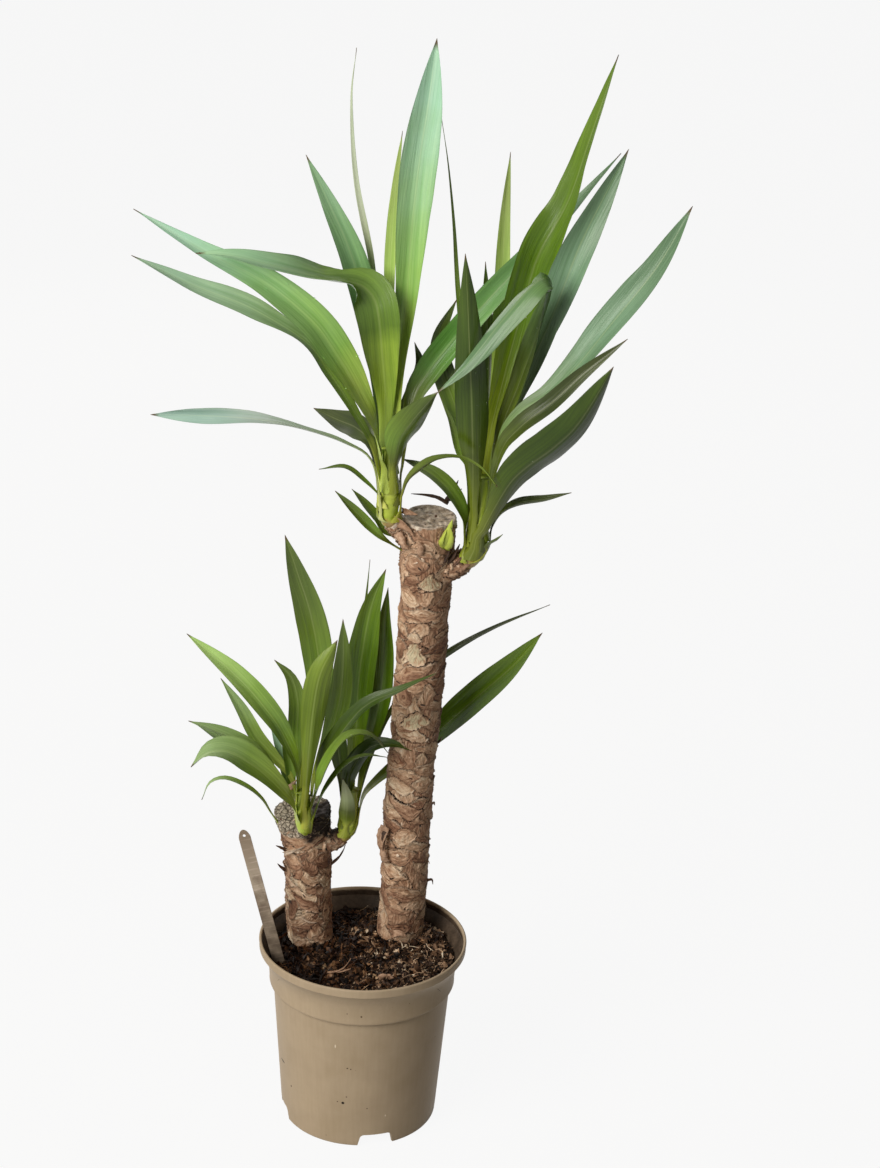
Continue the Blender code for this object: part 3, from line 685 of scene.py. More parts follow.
def old_bark():
    """Weathered leaf bases: dry pinkish-tan fibre, paler along each torn rim, where a painted highlight
    lies too, nearly black with painted shadow in the gaps, with flat cream scars, and grey and scaly or
    nearly black near the top of the short cane."""
    made, tree, shader = finish_named("old leaf-base bark")
    told = lambda name: node(tree, "Attribute", attribute_name=name).outputs["Fac"]
    place = node(tree, "TexCoord").outputs["Object"]
    grain_map = node(tree, "UVMap", uv_map="grain")
    layers = node(
        tree, "ValToRGB", [("Fac", told("tone"))],
        stops=[(0, "#7a5f50"), (0.25, "#9c7f6e"), (0.5, "#b89c88"), (0.75, "#cbb29e"), (1, "#dac6b1")],
    )
    fan = node(tree, "Mapping", [("Vector", grain_map)], Scale=(0.75, 0.13, 1))
    fibres = node(
        tree, "TexNoise", [("Vector", fan)], noise_dimensions="2D", Scale=1, Detail=4, Roughness=0.55,
        Distortion=0.6,
    )
    swirl = node(tree, "TexNoise", [("Vector", place)], Scale=105, Detail=4, Roughness=0.62, Distortion=2.2)
    cloud = node(tree, "TexNoise", [("Vector", place)], Scale=330, Detail=3, Roughness=0.7)
    for source, dark, light, most in (
        (fibres, "#645a52", "#fff6ea", 1.0), (swirl, "#756b64", "#f0ebe5", 0.75),
        (cloud, "#8f8984", "#e2ddd8", 0.35),
    ):
        shades = node(tree, "ValToRGB", [("Fac", source)], stops=[(0.3, dark), (0.7, light)])
        layers = node(
            tree, "Mix", [(0, most), (6, layers), (7, shades)], data_type="RGBA", blend_type="SOFT_LIGHT"
        )
    flaky = node(tree, "TexVoronoi", [("Vector", place)], feature="DISTANCE_TO_EDGE", Scale=260)
    scaly = node(
        tree, "ValToRGB", [("Fac", flaky)], stops=[(0.02, "#3a3028"), (0.07, "#8f8574"), (0.2, "#cabfad")]
    )
    # rim lays paler torn fibre with a painted highlight; the gap shadow lays painted shadow.
    for name, colour, most in (
        ("pale", "#c9c1a0", 0.8), ("grey", scaly, 1.2), ("char", "#2b211b", 1.5), ("rim", "#e3cbb2", 1.0),
        ("gap", "#24150d", 1.5),
    ):
        patches = swirl
        if name == "pale":
            broken = node(tree, "Math", [(0, fibres), (1, patches)], operation="ADD")
            patches = node(tree, "ValToRGB", [("Fac", broken)], stops=[(0.86, "#3a3a3a"), (1.0, "#bcbcbc")])
        if name == "gap":
            patches = node(
                tree, "ValToRGB", [("Fac", patches)], stops=[(0.4, "#262626"), (0.56, "#dcdcdc")]
            )
        patchy = node(tree, "Math", [(0, told(name)), (1, patches)], operation="MULTIPLY")
        share = node(tree, "Math", [(0, patchy), (1, 2 * most)], operation="MULTIPLY", use_clamp=True)
        layers = node(tree, "Mix", [(0, share), (6, layers), (7, colour)], data_type="RGBA")
    dull = node(tree, "MapRange", [("Value", fibres), ("To Min", 0.5), ("To Max", 0.8)])
    rough = node(tree, "Math", [(0, swirl), (1, fibres)], operation="ADD")
    bump = node(tree, "Bump", [("Height", rough)], Strength=0.8, Distance=0.0016)
    fill(
        tree, shader,
        [("Base Color", layers), ("Roughness", dull), ("Specular IOR Level", 0.2), ("Normal", bump)],
    )
    return made


def lay_scales(rng, low, high, count, spread):
    """The old leaf bases of a stem. Each lies over some of its neighbours: broad and low, round, or
    tall and narrow, with its own slant, tone and rim."""
    scales = []
    for index in range(count):
        wide, up, down = rng.choice(
            ((rng.uniform(9, 17), rng.uniform(3, 7), rng.uniform(4, 9)),
             (rng.uniform(9, 15), rng.uniform(5, 9), rng.uniform(3, 6)),
             (rng.uniform(5, 9), rng.uniform(5, 9), rng.uniform(4, 8)),
             (rng.uniform(3.5, 6), rng.uniform(6, 12), rng.uniform(5, 10)))
        )
        scales.append(
            dict(
                turn=math.radians(137.5 * index + rng.uniform(-25, 25)),
                level=low + (high - low) * (index + rng.random()) / count,
                wide=wide * spread, up=up * spread, down=down * spread, tilt=rng.gauss(0, 0.35), point=1.7,
                tone=min(max(rng.gauss(0.5, 0.22), 0), 1), lift=rng.uniform(-0.4, 0.4), pale=0.0,
                # edge sets how bright its rim's pale fibre and painted highlight are; dark, how dark the
                # painted shadow by its edge is.
                edge=rng.random() ** 0.8, side=rng.choice((1, 1, -1)), dark=rng.uniform(0.25, 1),
                order=rng.random(),
            )
        )
    return sorted(scales, key=lambda scale: scale["order"])


def paint_scale(told, scale, around, upward, radius):
    """Lays one scale over what an unrolled stem shows so far; the arrays hold what each point tells."""
    across = (around - scale["turn"] + math.pi) % (2 * math.pi) - math.pi
    across = across * radius + told["warp_x"]
    along = upward - scale["level"] - scale["tilt"] * across + told["warp_y"]
    seed = scale["turn"] * 7 + scale["level"]
    jag = 0.6 * numpy.sin(across * 1.3 + seed) + 0.4 * numpy.sin(across * 3.1 + 2 * seed)
    reach = numpy.clip(numpy.abs(across) / scale["wide"], 0, 1)
    top = scale["up"] * (1 - reach ** scale["point"]) + 0.5 * jag
    bottom = -scale["down"] * (1 - reach**2) - 0.4 * jag
    inside = numpy.minimum(top - along, along - bottom)
    inside = numpy.minimum(inside, (scale["wide"] - numpy.abs(across)) * 0.8)
    on = inside > 0
    # A painted shadow darkens a band just outside each scale's edge, as if cast into the gap below it.
    near = numpy.clip(1 + inside / 0.9, 0, 1) * ~on
    told["gap"][:] = numpy.where(on, 0, numpy.maximum(told["gap"], near * scale["dark"]))
    told["lift"] -= 0.45 * near * scale["dark"]
    depth = inside[on]
    free = numpy.clip(0.5 + along[on] * scale["side"] / (0.7 * scale["up"]), 0, 1)
    # Tone is lighter towards a scale's free rim and darker by its covered edge: painted light and shade.
    told["tone"][on] = scale["tone"] + 0.25 * (free - 0.5) - 0.15 * numpy.exp(-depth / 2.5) * (1 - free)
    told["pale"][on] = scale["pale"] * numpy.clip(depth / 3, 0, 1)
    # The rim is paler torn fibre with a painted highlight along it.
    told["rim"][on] = scale["edge"] * numpy.exp(-((depth / 0.9) ** 2)) * free
    folds = 0.2 * numpy.sin(2.1 * depth + 0.5 * across[on] * scale["side"] + seed)
    told["lift"][on] = scale["lift"] + folds + (0.15 + 1.05 * free) * numpy.exp(-depth / 1.7)
    told["depth"][on] = depth + 0.25 * along[on] + seed
    told["sweep"][on] = across[on] + seed
    if scale["pale"]:
        told["depth"][on] = 14 * across[on] / (scale["up"] + 5 - along[on])
        told["sweep"][on] = along[on]


def bark_tube(rng, axis, low, columns, count, spread, extra=(), base=-0.7):
    """Vertices and what they tell for a barked stem above the level low."""
    points = [Vector(point[:3]) for point in axis]
    length = sum((b - a).length for a, b in zip(points, points[1:]))
    rows = max(6, int(length / ROW_STEP))
    places, length = route_through(points, rows)
    runs = [0]
    for a, b in zip(points, points[1:]):
        runs.append(runs[-1] + (b - a).length)
    start = next(index for index, place in enumerate(places) if place.z >= low)
    places = places[start:]
    steps = [length * (start + index) / (rows - 1) for index in range(len(places))]
    wide = numpy.interp(numpy.array(steps) / steps[-1] * runs[-1], runs, [point[3] for point in axis])
    turns = numpy.arange(columns) * 2 * math.pi / columns
    around, upward = numpy.meshgrid(turns, numpy.array(steps))
    radius = float(wide.mean())
    told = {name: numpy.zeros(around.shape) for name in ("rim", "gap", "pale", "lift", "warp_x", "warp_y")}
    told["tone"] = numpy.full(around.shape, 0.35)
    told["depth"], told["sweep"] = around * radius, upward.copy()
    swell = numpy.zeros(around.shape)
    for row, step in enumerate(steps):
        for column in range(columns):
            spot = Vector((math.cos(turns[column]) * radius, math.sin(turns[column]) * radius, step))
            told["warp_x"][row, column] = 4.5 * noise.noise(spot / 13) + 1.6 * noise.noise(spot / 4.5)
            told["warp_y"][row, column] = 4.0 * noise.noise(spot / 15 + Vector((0, 0, 50)))
            broad = noise.noise(spot / 22 + Vector((9, 0, 0)))
            swell[row, column] = 1.1 * broad + 0.4 * noise.noise(spot / 5)
            # Patches of painted shadow in the gaps between scales.
            told["gap"][row, column] = 0.3 * max(noise.noise(spot / 3.5), 0)
    for scale in [*lay_scales(rng, min(steps), max(steps), count, spread), *extra]:
        close = numpy.abs(numpy.array(steps) - scale["level"]) < SCALE_SLACK + scale["up"]
        if not close.any():
            continue
        first, last = close.argmax(), len(close) - close[::-1].argmax()
        part = {name: values[first:last] for name, values in told.items()}
        paint_scale(part, scale, around[first:last], upward[first:last], radius)
    reach = wide[:, None] + base + swell + told["lift"]
    verts = []
    for row, place in enumerate(places):
        along = heading(places, row)
        right = (Vector((1, 0, 0)) - along * along.x).normalized()
        back = along.cross(right)
        for column in range(columns):
            way = right * math.cos(turns[column]) + back * math.sin(turns[column])
            verts.append(place + way * reach[row, column])
    return verts, told, len(places), columns, places[-1], (places[-1] - places[-2]).normalized()


def tube_faces(first, rows, columns):
    """The faces between rings of points that lie one after another."""
    return [
        (
            first + row * columns + column, first + row * columns + (column + 1) % columns,
            first + (row + 1) * columns + (column + 1) % columns, first + (row + 1) * columns + column,
        )
        for row in range(rows - 1) for column in range(columns)
    ]


def cane(name, axis, knobs, seed, count, marks, cut, sealed, cad_node, finishes):
    """A barked trunk, its sawn top and the knobs that its shoots grow from, as one object. The bark is
    old between the two heights of the cut, and nearly black on the side that its third number faces."""
    rng = random.Random(seed)
    verts, faces, told_by = [], [], {key: [] for key in ("tone", "rim", "gap", "pale", "depth", "sweep")}
    wax = []

    def add(found, capped):
        """Adds a stem and closes its end: with the sawn top, or rounded under a shoot."""
        points, told, rows, columns, top, way = found
        first = len(verts)
        verts.extend(points)
        faces.extend(tube_faces(first, rows, columns))
        for key in told_by:
            told_by[key].extend(told[key].ravel().tolist())
        rim = first + (rows - 1) * columns
        ring = list(range(rim, rim + columns))
        steps = 18 if capped else 3
        for step in range(1, steps):
            share = 1 - step / steps
            fresh = []
            for column in range(columns):
                at = verts[rim + column].lerp(top, 1 - share)
                lumps = 1.5 * noise.noise(at / 6.5) + 0.9 * noise.noise(at / 2.8)
                sink = 0.8 * (1 - share)
                if capped:
                    sink = (lumps + 0.4 - 1.2 * smooth(step, 1, 4)) * (1 - share**8)
                fresh.append(len(verts))
                verts.append(at + way * sink)
                for key in told_by:
                    told_by[key].append(0.3 if key == "tone" else 0)
            for column in range(columns):
                there = (column + 1) % columns
                if capped:
                    wax.append(len(faces))
                faces.append((ring[column], ring[there], fresh[there], fresh[column]))
            ring = fresh
        middle = len(verts)
        verts.append(top + way * (-0.6 if capped else 1))
        for key in told_by:
            told_by[key].append(0.3 if key == "tone" else 0)
        for column in range(columns):
            if capped:
                wax.append(len(faces))
            faces.append((ring[column], ring[(column + 1) % columns], middle))
        faces.append(tuple(range(first, first + columns))[::-1])

    add(bark_tube(rng, axis, UNDER_SOIL, 168, count, 1.3, marks), True)
    for knob in knobs:
        add(bark_tube(rng, knob, -1, 64, 34, 0.5, base=0), False)
    made = piece_of(name, verts, faces, finishes[0])
    made.data.materials.append(finishes[1])
    if sealed:
        for face in wax:
            made.data.polygons[face].material_index = 1
        for face in made.data.polygons:
            spill = face.center / MM
            if spill.z > axis[-1][2] - 3.4 + 4.5 * noise.noise(spill / 9) + 2 * noise.noise(spill / 3):
                face.material_index = 1
    outward(made)
    unroll(made.data, "grain", list(zip(told_by.pop("depth"), told_by.pop("sweep"))))
    told_by["grey"], told_by["char"] = [], []
    bumps = []
    for vertex in made.data.vertices:
        x, y, z = vertex.co / MM
        old = smooth(z + 7 * noise.noise(vertex.co / MM / 8), cut[0], cut[1])
        toward = math.cos(math.atan2(y - axis[-1][1], x - axis[-1][0]) - math.radians(cut[2]))
        # The side that the third number faces is darkened to nearly black.
        on_dark_side = smooth(toward, 0.45, 0.8)
        told_by["char"].append(old * on_dark_side)
        told_by["grey"].append(old * (1 - on_dark_side))
        crust = 1.1 * noise.noise(vertex.co / MM / 2.4) + 0.9 * noise.noise(vertex.co / MM / 5.5)
        bumps.append(vertex.normal * old * crust * MM)
    for vertex, bump in zip(made.data.vertices, bumps):
        vertex.co += bump
    tell(made, **told_by)
    keep(made, "cane_bark", cad_node)


def cut_wax():
    """The sealed saw cut: weathered pith under thin wax, mottled grey-brown, dirty in the hollows."""
    made, tree, shader = finish_named("weathered sealed saw cut")
    place = node(tree, "TexCoord").outputs["Object"]
    blot = node(tree, "TexNoise", [("Vector", place)], Scale=190, Detail=4, Roughness=0.65)
    tone = node(
        tree, "ValToRGB", [("Fac", blot)],
        stops=[(0.34, "#5a4d3f"), (0.46, "#94836f"), (0.56, "#bcab9a"), (0.66, "#e2d6c3")],
    )
    bump = node(tree, "Bump", [("Height", blot)], Strength=0.9, Distance=0.0015)
    fill(tree, shader, [("Base Color", tone), ("Roughness", 0.55), ("Normal", bump)])
    return made


def mark(degrees, level, wide, up, down, tilt, tone, **more):
    """A scale laid on top of the others at a known place."""
    looks = dict(point=1.7, pale=0, lift=0.4, edge=0.8, side=-1, dark=0.7)
    looks.update(more)
    return dict(
        turn=math.radians(degrees), level=level, wide=wide, up=up, down=down, tilt=tilt, tone=tone, **looks
    )


finishes = (old_bark(), cut_wax())
tall_marks = [
    mark(-100, 222, 17, 3, 12, -0.35, 0.45, dark=1.6, side=1),
    mark(-62, 225, 9, 4, 8, 0.2, 0.4, dark=1.3, side=1),
    mark(-80, 424, 12, 11, 6, 0.06, 0.7, pale=1, point=1, dark=1.2),
    mark(-104, 362, 9, 9, 8, -0.5, 0.7, pale=0.9, point=1),
    mark(-112, 374, 8, 7, 5, 0, 0.85, edge=1, side=1),
    mark(-93, 299, 13, 13, 6, 0.25, 0.7, pale=1, point=1, dark=1.2),
    mark(-62, 400, 6, 9, 10, -0.3, 0.4, dark=1.2, edge=1),
    mark(-95, 398, 15, 7, 9, 0.05, 0.6, side=1, edge=1),
]
cane("tall_trunk", TALL_CANE, TALL_KNOBS, 5, 235, tall_marks, (2000, 2001, 0), True, "tall_cane", finishes)
cane("short_trunk", SHORT_CANE, SHORT_KNOBS, 8, 120, [], (243, 252, -25), False, "short_cane", finishes)


# --- Crown stems -------------------------------------------------------------------------------------
# The green shoots that broke from the canes. Each is a short soft stem under its leaf bases, swollen
# and yellow-green at the foot, where it breaks through a collar of torn papery bark.

CROWNS = {
    "tall_left": (
        (13.8, -7.3, 530.7, 6.5), (11.2, -8.2, 533.5, 7), (11, -8, 548, 7.5), (11, -8, 564, 6.5),
        (10, -8, 590, 3.5),
    ),
    "tall_right": (
        (71.2, -4.1, 499.2, 7), (74.4, -5.3, 501.2, 7.5), (79, -5, 512, 8), (80.5, -5, 535, 7),
        (82, -5, 568, 4.5),
    ),
    "short_left": (
        (-48.6, -5.3, 258, 2.6), (-48.6, -9.5, 261, 3.6), (-49.2, -10, 268, 5.2), (-50, -9, 278, 5.8),
        (-51, -9, 296, 3),
    ),
    "short_right": (
        (-19.8, 14.4, 245.7, 5.8), (-17.2, 13.9, 247.9, 6.2), (-15, 14, 258, 6.8), (-14, 14, 270, 6.3),
        (-13, 14, 288, 4.5),
    ),
}


def shoot_skin():
    """Young stem: smooth, waxy and translucent yellow-green, with the scars of fallen first leaves. Its
    green is lightened with painted light, against the shade of the leaf sheaths over it.
    """
    made, tree, shader = finish_named("young yucca shoot")
    share = node(tree, "Attribute", attribute_name="share").outputs["Fac"]
    place = node(tree, "TexCoord").outputs["Object"]
    cloud = node(tree, "TexNoise", [("Vector", place)], Scale=120, Detail=3)
    drift = node(tree, "Math", [(0, cloud), (1, 0.16), (2, -0.08)], operation="MULTIPLY_ADD")
    shifted = node(tree, "Math", [(0, share), (1, drift)], operation="ADD")
    # The greens here are lightened: painted light against the shade of the sheaths.
    body = node(
        tree, "ValToRGB", [("Fac", shifted)],
        stops=[(0, "#9d7d5c"), (0.05, "#b59f5c"), (0.1, "#a6ba3a"), (0.4, "#b9c84f"), (1, "#a5b94a")],
    )
    bump = node(tree, "Bump", [("Height", cloud)], Strength=0.3, Distance=0.0006)
    fill(tree, shader, [("Base Color", body), ("Roughness", 0.4), ("Normal", bump)])
    return made


def crown(name, axis, finish):
    """One shoot: a soft stem along its axis, ringed where its first leaves fell."""
    points = [Vector(point[:3]) for point in axis]
    rows, columns = 48, 40
    places, length = route_through(points, rows)
    verts, shares = [], []
    for row, place in enumerate(places):
        run = length * row / (rows - 1)
        wide = station(axis, run)[1]
        along = heading(places, row)
        right = (Vector((1, 0, 0)) - along * along.x).normalized()
        back = along.cross(right)
        for column in range(columns):
            turn = 2 * math.pi * column / columns
            way = right * math.cos(turn) + back * math.sin(turn)
            ring = 0.35 * smooth(math.sin(run * 1.1 + math.cos(turn - run / 5)), 0.6, 1)
            verts.append(place + way * (wide + ring + 0.3 * noise.noise(place / 6 + way * 2)))
            shares.append(run / length)
    faces = tube_faces(0, rows, columns)
    faces += [tuple(range(columns))[::-1], tuple(range((rows - 1) * columns, rows * columns))]
    made = piece_of(f"{name}_shoot", verts, faces, finish)
    outward(made)
    tell(made, share=shares)
    keep(made, "crown_stem", f"{name}_crown")


shoot_finish = shoot_skin()
for name, axis in CROWNS.items():
    crown(name, axis, shoot_finish)


# --- Leaves ------------------------------------------------------------------------------------------
# Stiff sword-shaped leaves, channelled at the foot and flat towards the point, with fine parallel
# veins. Each clasps its stem with a short sheath; the young ones stand up inside and the old ones arch
# out and hang.

LEAF_COLUMNS = (-1, -0.86, -0.62, -0.32, 0, 0.32, 0.62, 0.86, 1)
LEAF_STATION, LEAST_STATIONS = 5, 26
LEAF_EDGE, LEAF_TIP = 0.16, 0.5
CHANNEL = 0.42
SHEATH, CLASP = 14, 16
WOODY = 15
# The leaves of each stem. A row is a leaf's kind, the way it leaves the stem in degrees, how far up, its
# width, where along it that is, the turns of its face and the route of its midrib from the stem's foot.
LEAVES = {
    "tall_left": (
        ("fresh", 40, 54, 27, 0.7, (0,),
         ((1, 9, 110), (5, 15, 171), (7, 19, 220), (11, 21, 272), (17, 19, 325), (21, 15, 367))),
        ("folding", 150, 50, 33, 0.45, (20, 5, 0, 0, 0, 0, 0, 25, 80, 92, 80, 72, 66, 62, 60, 60),
         ((-8, 3, 96), (-12, 1, 136), (-15, 3, 160), (-19, 6, 174), (-27, 7, 183), (-37, 3, 188),
          (-51, -8, 193), (-67, -17, 199), (-83, -25, 205), (-100, -31, 210), (-115, -34, 214),
          (-131, -36, 216), (-147, -37, 216))),
        ("fresh", 225, 40, 27, 0.42, (50, 30, 30, 40, 50),
         ((-16, -17, 83), (-30, -21, 115), (-46, -23, 142), (-65, -25, 167), (-100, -25, 194),
          (-146, -23, 216), (-194, -19, 242))),
        ("grey", 188, 28, 18, 0.6, (40, 40, 45, 60, 40, 40, 50, 60),
         ((-16, -4, 60), (-31, 1, 86), (-51, 9, 114), (-70, 13, 137), (-112, 15, 161), (-156, 13, 178),
          (-199, 9, 199))),
        ("pale", 225, 8, 12, 0.8, (90, 90, 90, 60, 10, 0),
         ((-16, -17, 53), (-37, -20, 69), (-70, -27, 82), (-104, -33, 90), (-144, -37, 92),
          (-180, -39, 92))),
        ("shaded", 160, 14, 20, 0.6, (40, 60),
         ((-16, 15, 52), (-29, 31, 62), (-46, 49, 63), (-65, 63, 66))),
        ("slate", 140, 24, 22, 0.55, (20, 10),
         ((-12, 15, 75), (-19, 31, 134), (-36, 42, 192), (-55, 50, 232), (-74, 59, 267))),
        ("straw", 90, 30, 5, 0.6, (0,),
         ((-10, 29, 87), (-16, 45, 137), (-23, 53, 190), (-36, 57, 250), (-41, 57, 310),
          (-38, 53, 350))),
        ("lime", 80, 42, 9, 0.6, (-20,),
         ((-3, 15, 92), (-7, 22, 145), (-8, 27, 198), (-6, 30, 251), (-2, 30, 295))),
        ("mature", -60, 40, 26, 0.5, (200, 210),
         ((3, -17, 71), (12, -27, 91), (22, -33, 106), (31, -37, 117))),
        ("olive", -20, 14, 9, 0.5, (200, 240, 270),
         ((10, -13, 37), (20, -21, 52), (32, -25, 61), (49, -28, 64), (66, -31, 57), (78, -32, 43))),
        ("mature", 185, 12, 5, 0.55, (60,),
         ((-10, -3, 20), (-22, -6, 34), (-37, -10, 46), (-56, -15, 45))),
        ("shaded", 60, 36, 14, 0.5, (0,),
         ((6, 23, 73), (13, 31, 95), (17, 35, 114), (12, 37, 131))),
        ("slate", 5, 30, 21, 0.35, (-20, -20, -40, -60),
         ((11, 13, 87), (24, 21, 115), (57, 33, 157), (89, 45, 192), (126, 57, 234), (161, 65, 276))),
    ),
    "tall_right": (
        ("dark", -125, 36, 25, 0.45, (180,),
         ((3, -14, 71), (1, -22, 106), (-1, -26, 139), (-4, -28, 178), (-7, -26, 216),
          (-10, -24, 250))),
        ("mature", 140, 52, 9, 0.25, (0,),
         ((4, 25, 105), (-7, 40, 156), (-14, 46, 201), (-19, 48, 251), (-25, 46, 298), (-32, 42, 338))),
        ("turning", -40, 45, 25, 0.6, (-40, -40, -60, -90, -120, -130, -130),
         ((22, -6, 107), (33, -9, 146), (44, -11, 186), (53, -14, 224), (45, -26, 231), (21, -36, 205),
          (-3, -42, 174), (-27, -44, 149))),
        ("deep", 98, 62, 31, 0.45, (0, 0, 0, 0, -40, -57, -57, -55),
         ((15, 18, 100), (23, 24, 139), (33, 29, 185), (45, 30, 236), (64, 29, 279), (78, 26, 329),
          (95, 20, 390))),
        ("sage", 28, 54, 26, 0.6, (-20, -20, -25, -30, -42, -30, -15, 0, 0, 0),
         ((20, 7, 88), (30, 4, 126), (42, 4, 158), (57, 4, 200), (73, 6, 248), (89, 9, 285),
          (106, 12, 323))),
        ("sage", -70, 35, 25, 0.65, (-60, -60, -40, -30),
         ((22, -20, 101), (35, -24, 128), (56, -25, 145), (74, -27, 168), (96, -28, 200),
          (129, -28, 247), (152, -28, 293))),
        ("shaded", -75, 27, 15, 0.55, (-60, -50, -30, -20),
         ((21, -31, 97), (34, -43, 124), (57, -47, 146), (81, -49, 172), (110, -49, 198))),
        ("dark", -100, 20, 31, 0.55, (200, 200),
         ((27, -31, 72), (41, -38, 93), (60, -45, 112), (78, -49, 134), (101, -51, 177))),
        ("shaded", 5, 20, 8, 0.55, (-60,),
         ((20, -1, 31), (27, -5, 44), (39, -10, 53), (58, -16, 59), (77, -20, 66))),
        ("olive", -30, 12, 11, 0.3, (-120,),
         ((22, -8, 20), (27, -10, 26))),
        ("mature", 205, 40, 6, 0.55, (20,),
         ((0, -3, 75), (-9, -1, 90), (-16, 4, 112), (-24, 10, 127))),
        ("mature", 162, 30, 19, 0.55, (20,),
         ((-1, 9, 82), (-13, 18, 119), (-25, 27, 148), (-27, 29, 171), (-15, 29, 199))),
        ("dark", 120, 40, 12, 0.55, (0,),
         ((10, 28, 88), (12, 46, 131), (9, 60, 174), (6, 64, 219))),
        ("lime", 122, 56, 12, 0.55, (0,),
         ((14, 25, 98), (18, 34, 143), (19, 48, 194), (19, 54, 251), (21, 54, 307))),
        ("mature", 203, 12, 17, 0.5, (60,),
         ((-3, -7, 38), (-13, -6, 57), (-26, 0, 68), (-39, 6, 73), (-51, 12, 76))),
    ),
    "short_left": (
        ("leafy", 170, 28, 19, 0.55, (40,),
         ((-7, -4, 57), (-16, -4, 83), (-29, -3, 105), (-57, 3, 135), (-96, 9, 166))),
        ("mature", 95, 36, 25, 0.6, (0,),
         ((-1, 8, 56), (3, 15, 93), (8, 17, 132), (1, 19, 178), (-12, 20, 220), (-21, 20, 248))),
        ("olive", -85, 24, 21, 0.7, (180,),
         ((1, -15, 54), (3, -19, 87), (6, -21, 123), (11, -21, 152), (23, -19, 178))),
        ("mature", 15, 32, 18, 0.55, (0,),
         ((7, 0, 52), (17, 4, 81), (25, 6, 116), (27, 7, 150), (26, 8, 184))),
        ("dark", -12, 24, 17, 0.3, (-50, -60, -80),
         ((10, -10, 55), (19, -13, 81), (33, -19, 108), (48, -23, 127), (73, -27, 142),
          (102, -25, 157))),
        ("mature", -40, 20, 16, 0.4, (-70, -80, -100),
         ((9, -19, 48), (18, -29, 78), (29, -33, 99), (41, -35, 107), (54, -35, 104), (65, -31, 89))),
        ("mature", -25, 8, 8, 0.55, (-70, -90),
         ((11, -13, 35), (20, -17, 55), (32, -19, 72), (47, -19, 80), (64, -17, 78))),
        ("soft", 207, 20, 14, 0.7, (70, 80),
         ((-11, -15, 41), (-23, -16, 59), (-38, -17, 79), (-61, -19, 93), (-92, -17, 103))),
        ("soft", 172, 16, 12, 0.55, (60, 70),
         ((-12, -3, 34), (-28, -2, 51), (-50, -1, 68), (-70, -1, 81), (-88, -1, 93))),
        ("soft", 220, 10, 27, 0.7, (60, 60, 90),
         ((-9, -21, 34), (-22, -30, 57), (-38, -33, 74), (-58, -37, 88), (-75, -39, 88),
          (-88, -39, 74))),
        ("soft", 142, 24, 12, 0.55, (20,),
         ((-12, 13, 40), (-27, 17, 58), (-41, 17, 75), (-54, 17, 100), (-70, 17, 125))),
        ("mature", 120, 32, 15, 0.55, (0,),
         ((-6, 11, 45), (-9, 17, 74), (-9, 21, 104), (-15, 23, 126), (-28, 23, 140))),
    ),
    "short_right": (
        ("deep", 92, 30, 25, 0.55, (0,),
         ((6, 6, 49), (9, 9, 91), (10, 12, 134), (15, 12, 178), (20, 12, 204), (29, 10, 231))),
        ("deep", 30, 26, 18, 0.55, (0,),
         ((14, 10, 48), (20, 18, 78), (27, 20, 113), (29, 21, 148), (29, 21, 183), (31, 20, 211))),
        ("mature", 150, 24, 5, 0.55, (0,),
         ((5, 19, 50), (7, 22, 102), (10, 24, 155), (14, 24, 203), (16, 23, 233))),
        ("deep", -10, 13, 25, 0.65, (-40, -40, -40, -40),
         ((16, 8, 31), (27, 22, 40), (49, 38, 53), (74, 44, 75), (104, 44, 107), (131, 40, 137),
          (155, 34, 171))),
        ("shaded", 50, 14, 6, 0.55, (0, 0, -60, -60),
         ((15, 20, 36), (23, 30, 63), (35, 42, 92), (58, 50, 122), (80, 50, 143), (117, 44, 170),
          (160, 38, 194))),
        ("bract", -100, 12, 14, 0.2, (180,),
         ((4, -14, 38), (0, -15, 59))),
    ),
    "tall_cane": (
        ("mature", 195, 446, 9, 0.55, (40,),
         ((-21, -47, 456), (-31, -49, 466), (-41, -51, 477), (-59, -53, 496))),
        ("mature", 165, 452, 8, 0.55, (40,),
         ((-21, -33, 456), (-27, -34, 468), (-36, -35, 479), (-47, -37, 492))),
    ),
    "short_cane": (
        ("soft", 205, 186, 5, 0.55, (70,),
         ((-39, -22, 203), (-46, -26, 217), (-59, -30, 230), (-75, -32, 237), (-87, -34, 233),
          (-93, -34, 218))),
    ),
}

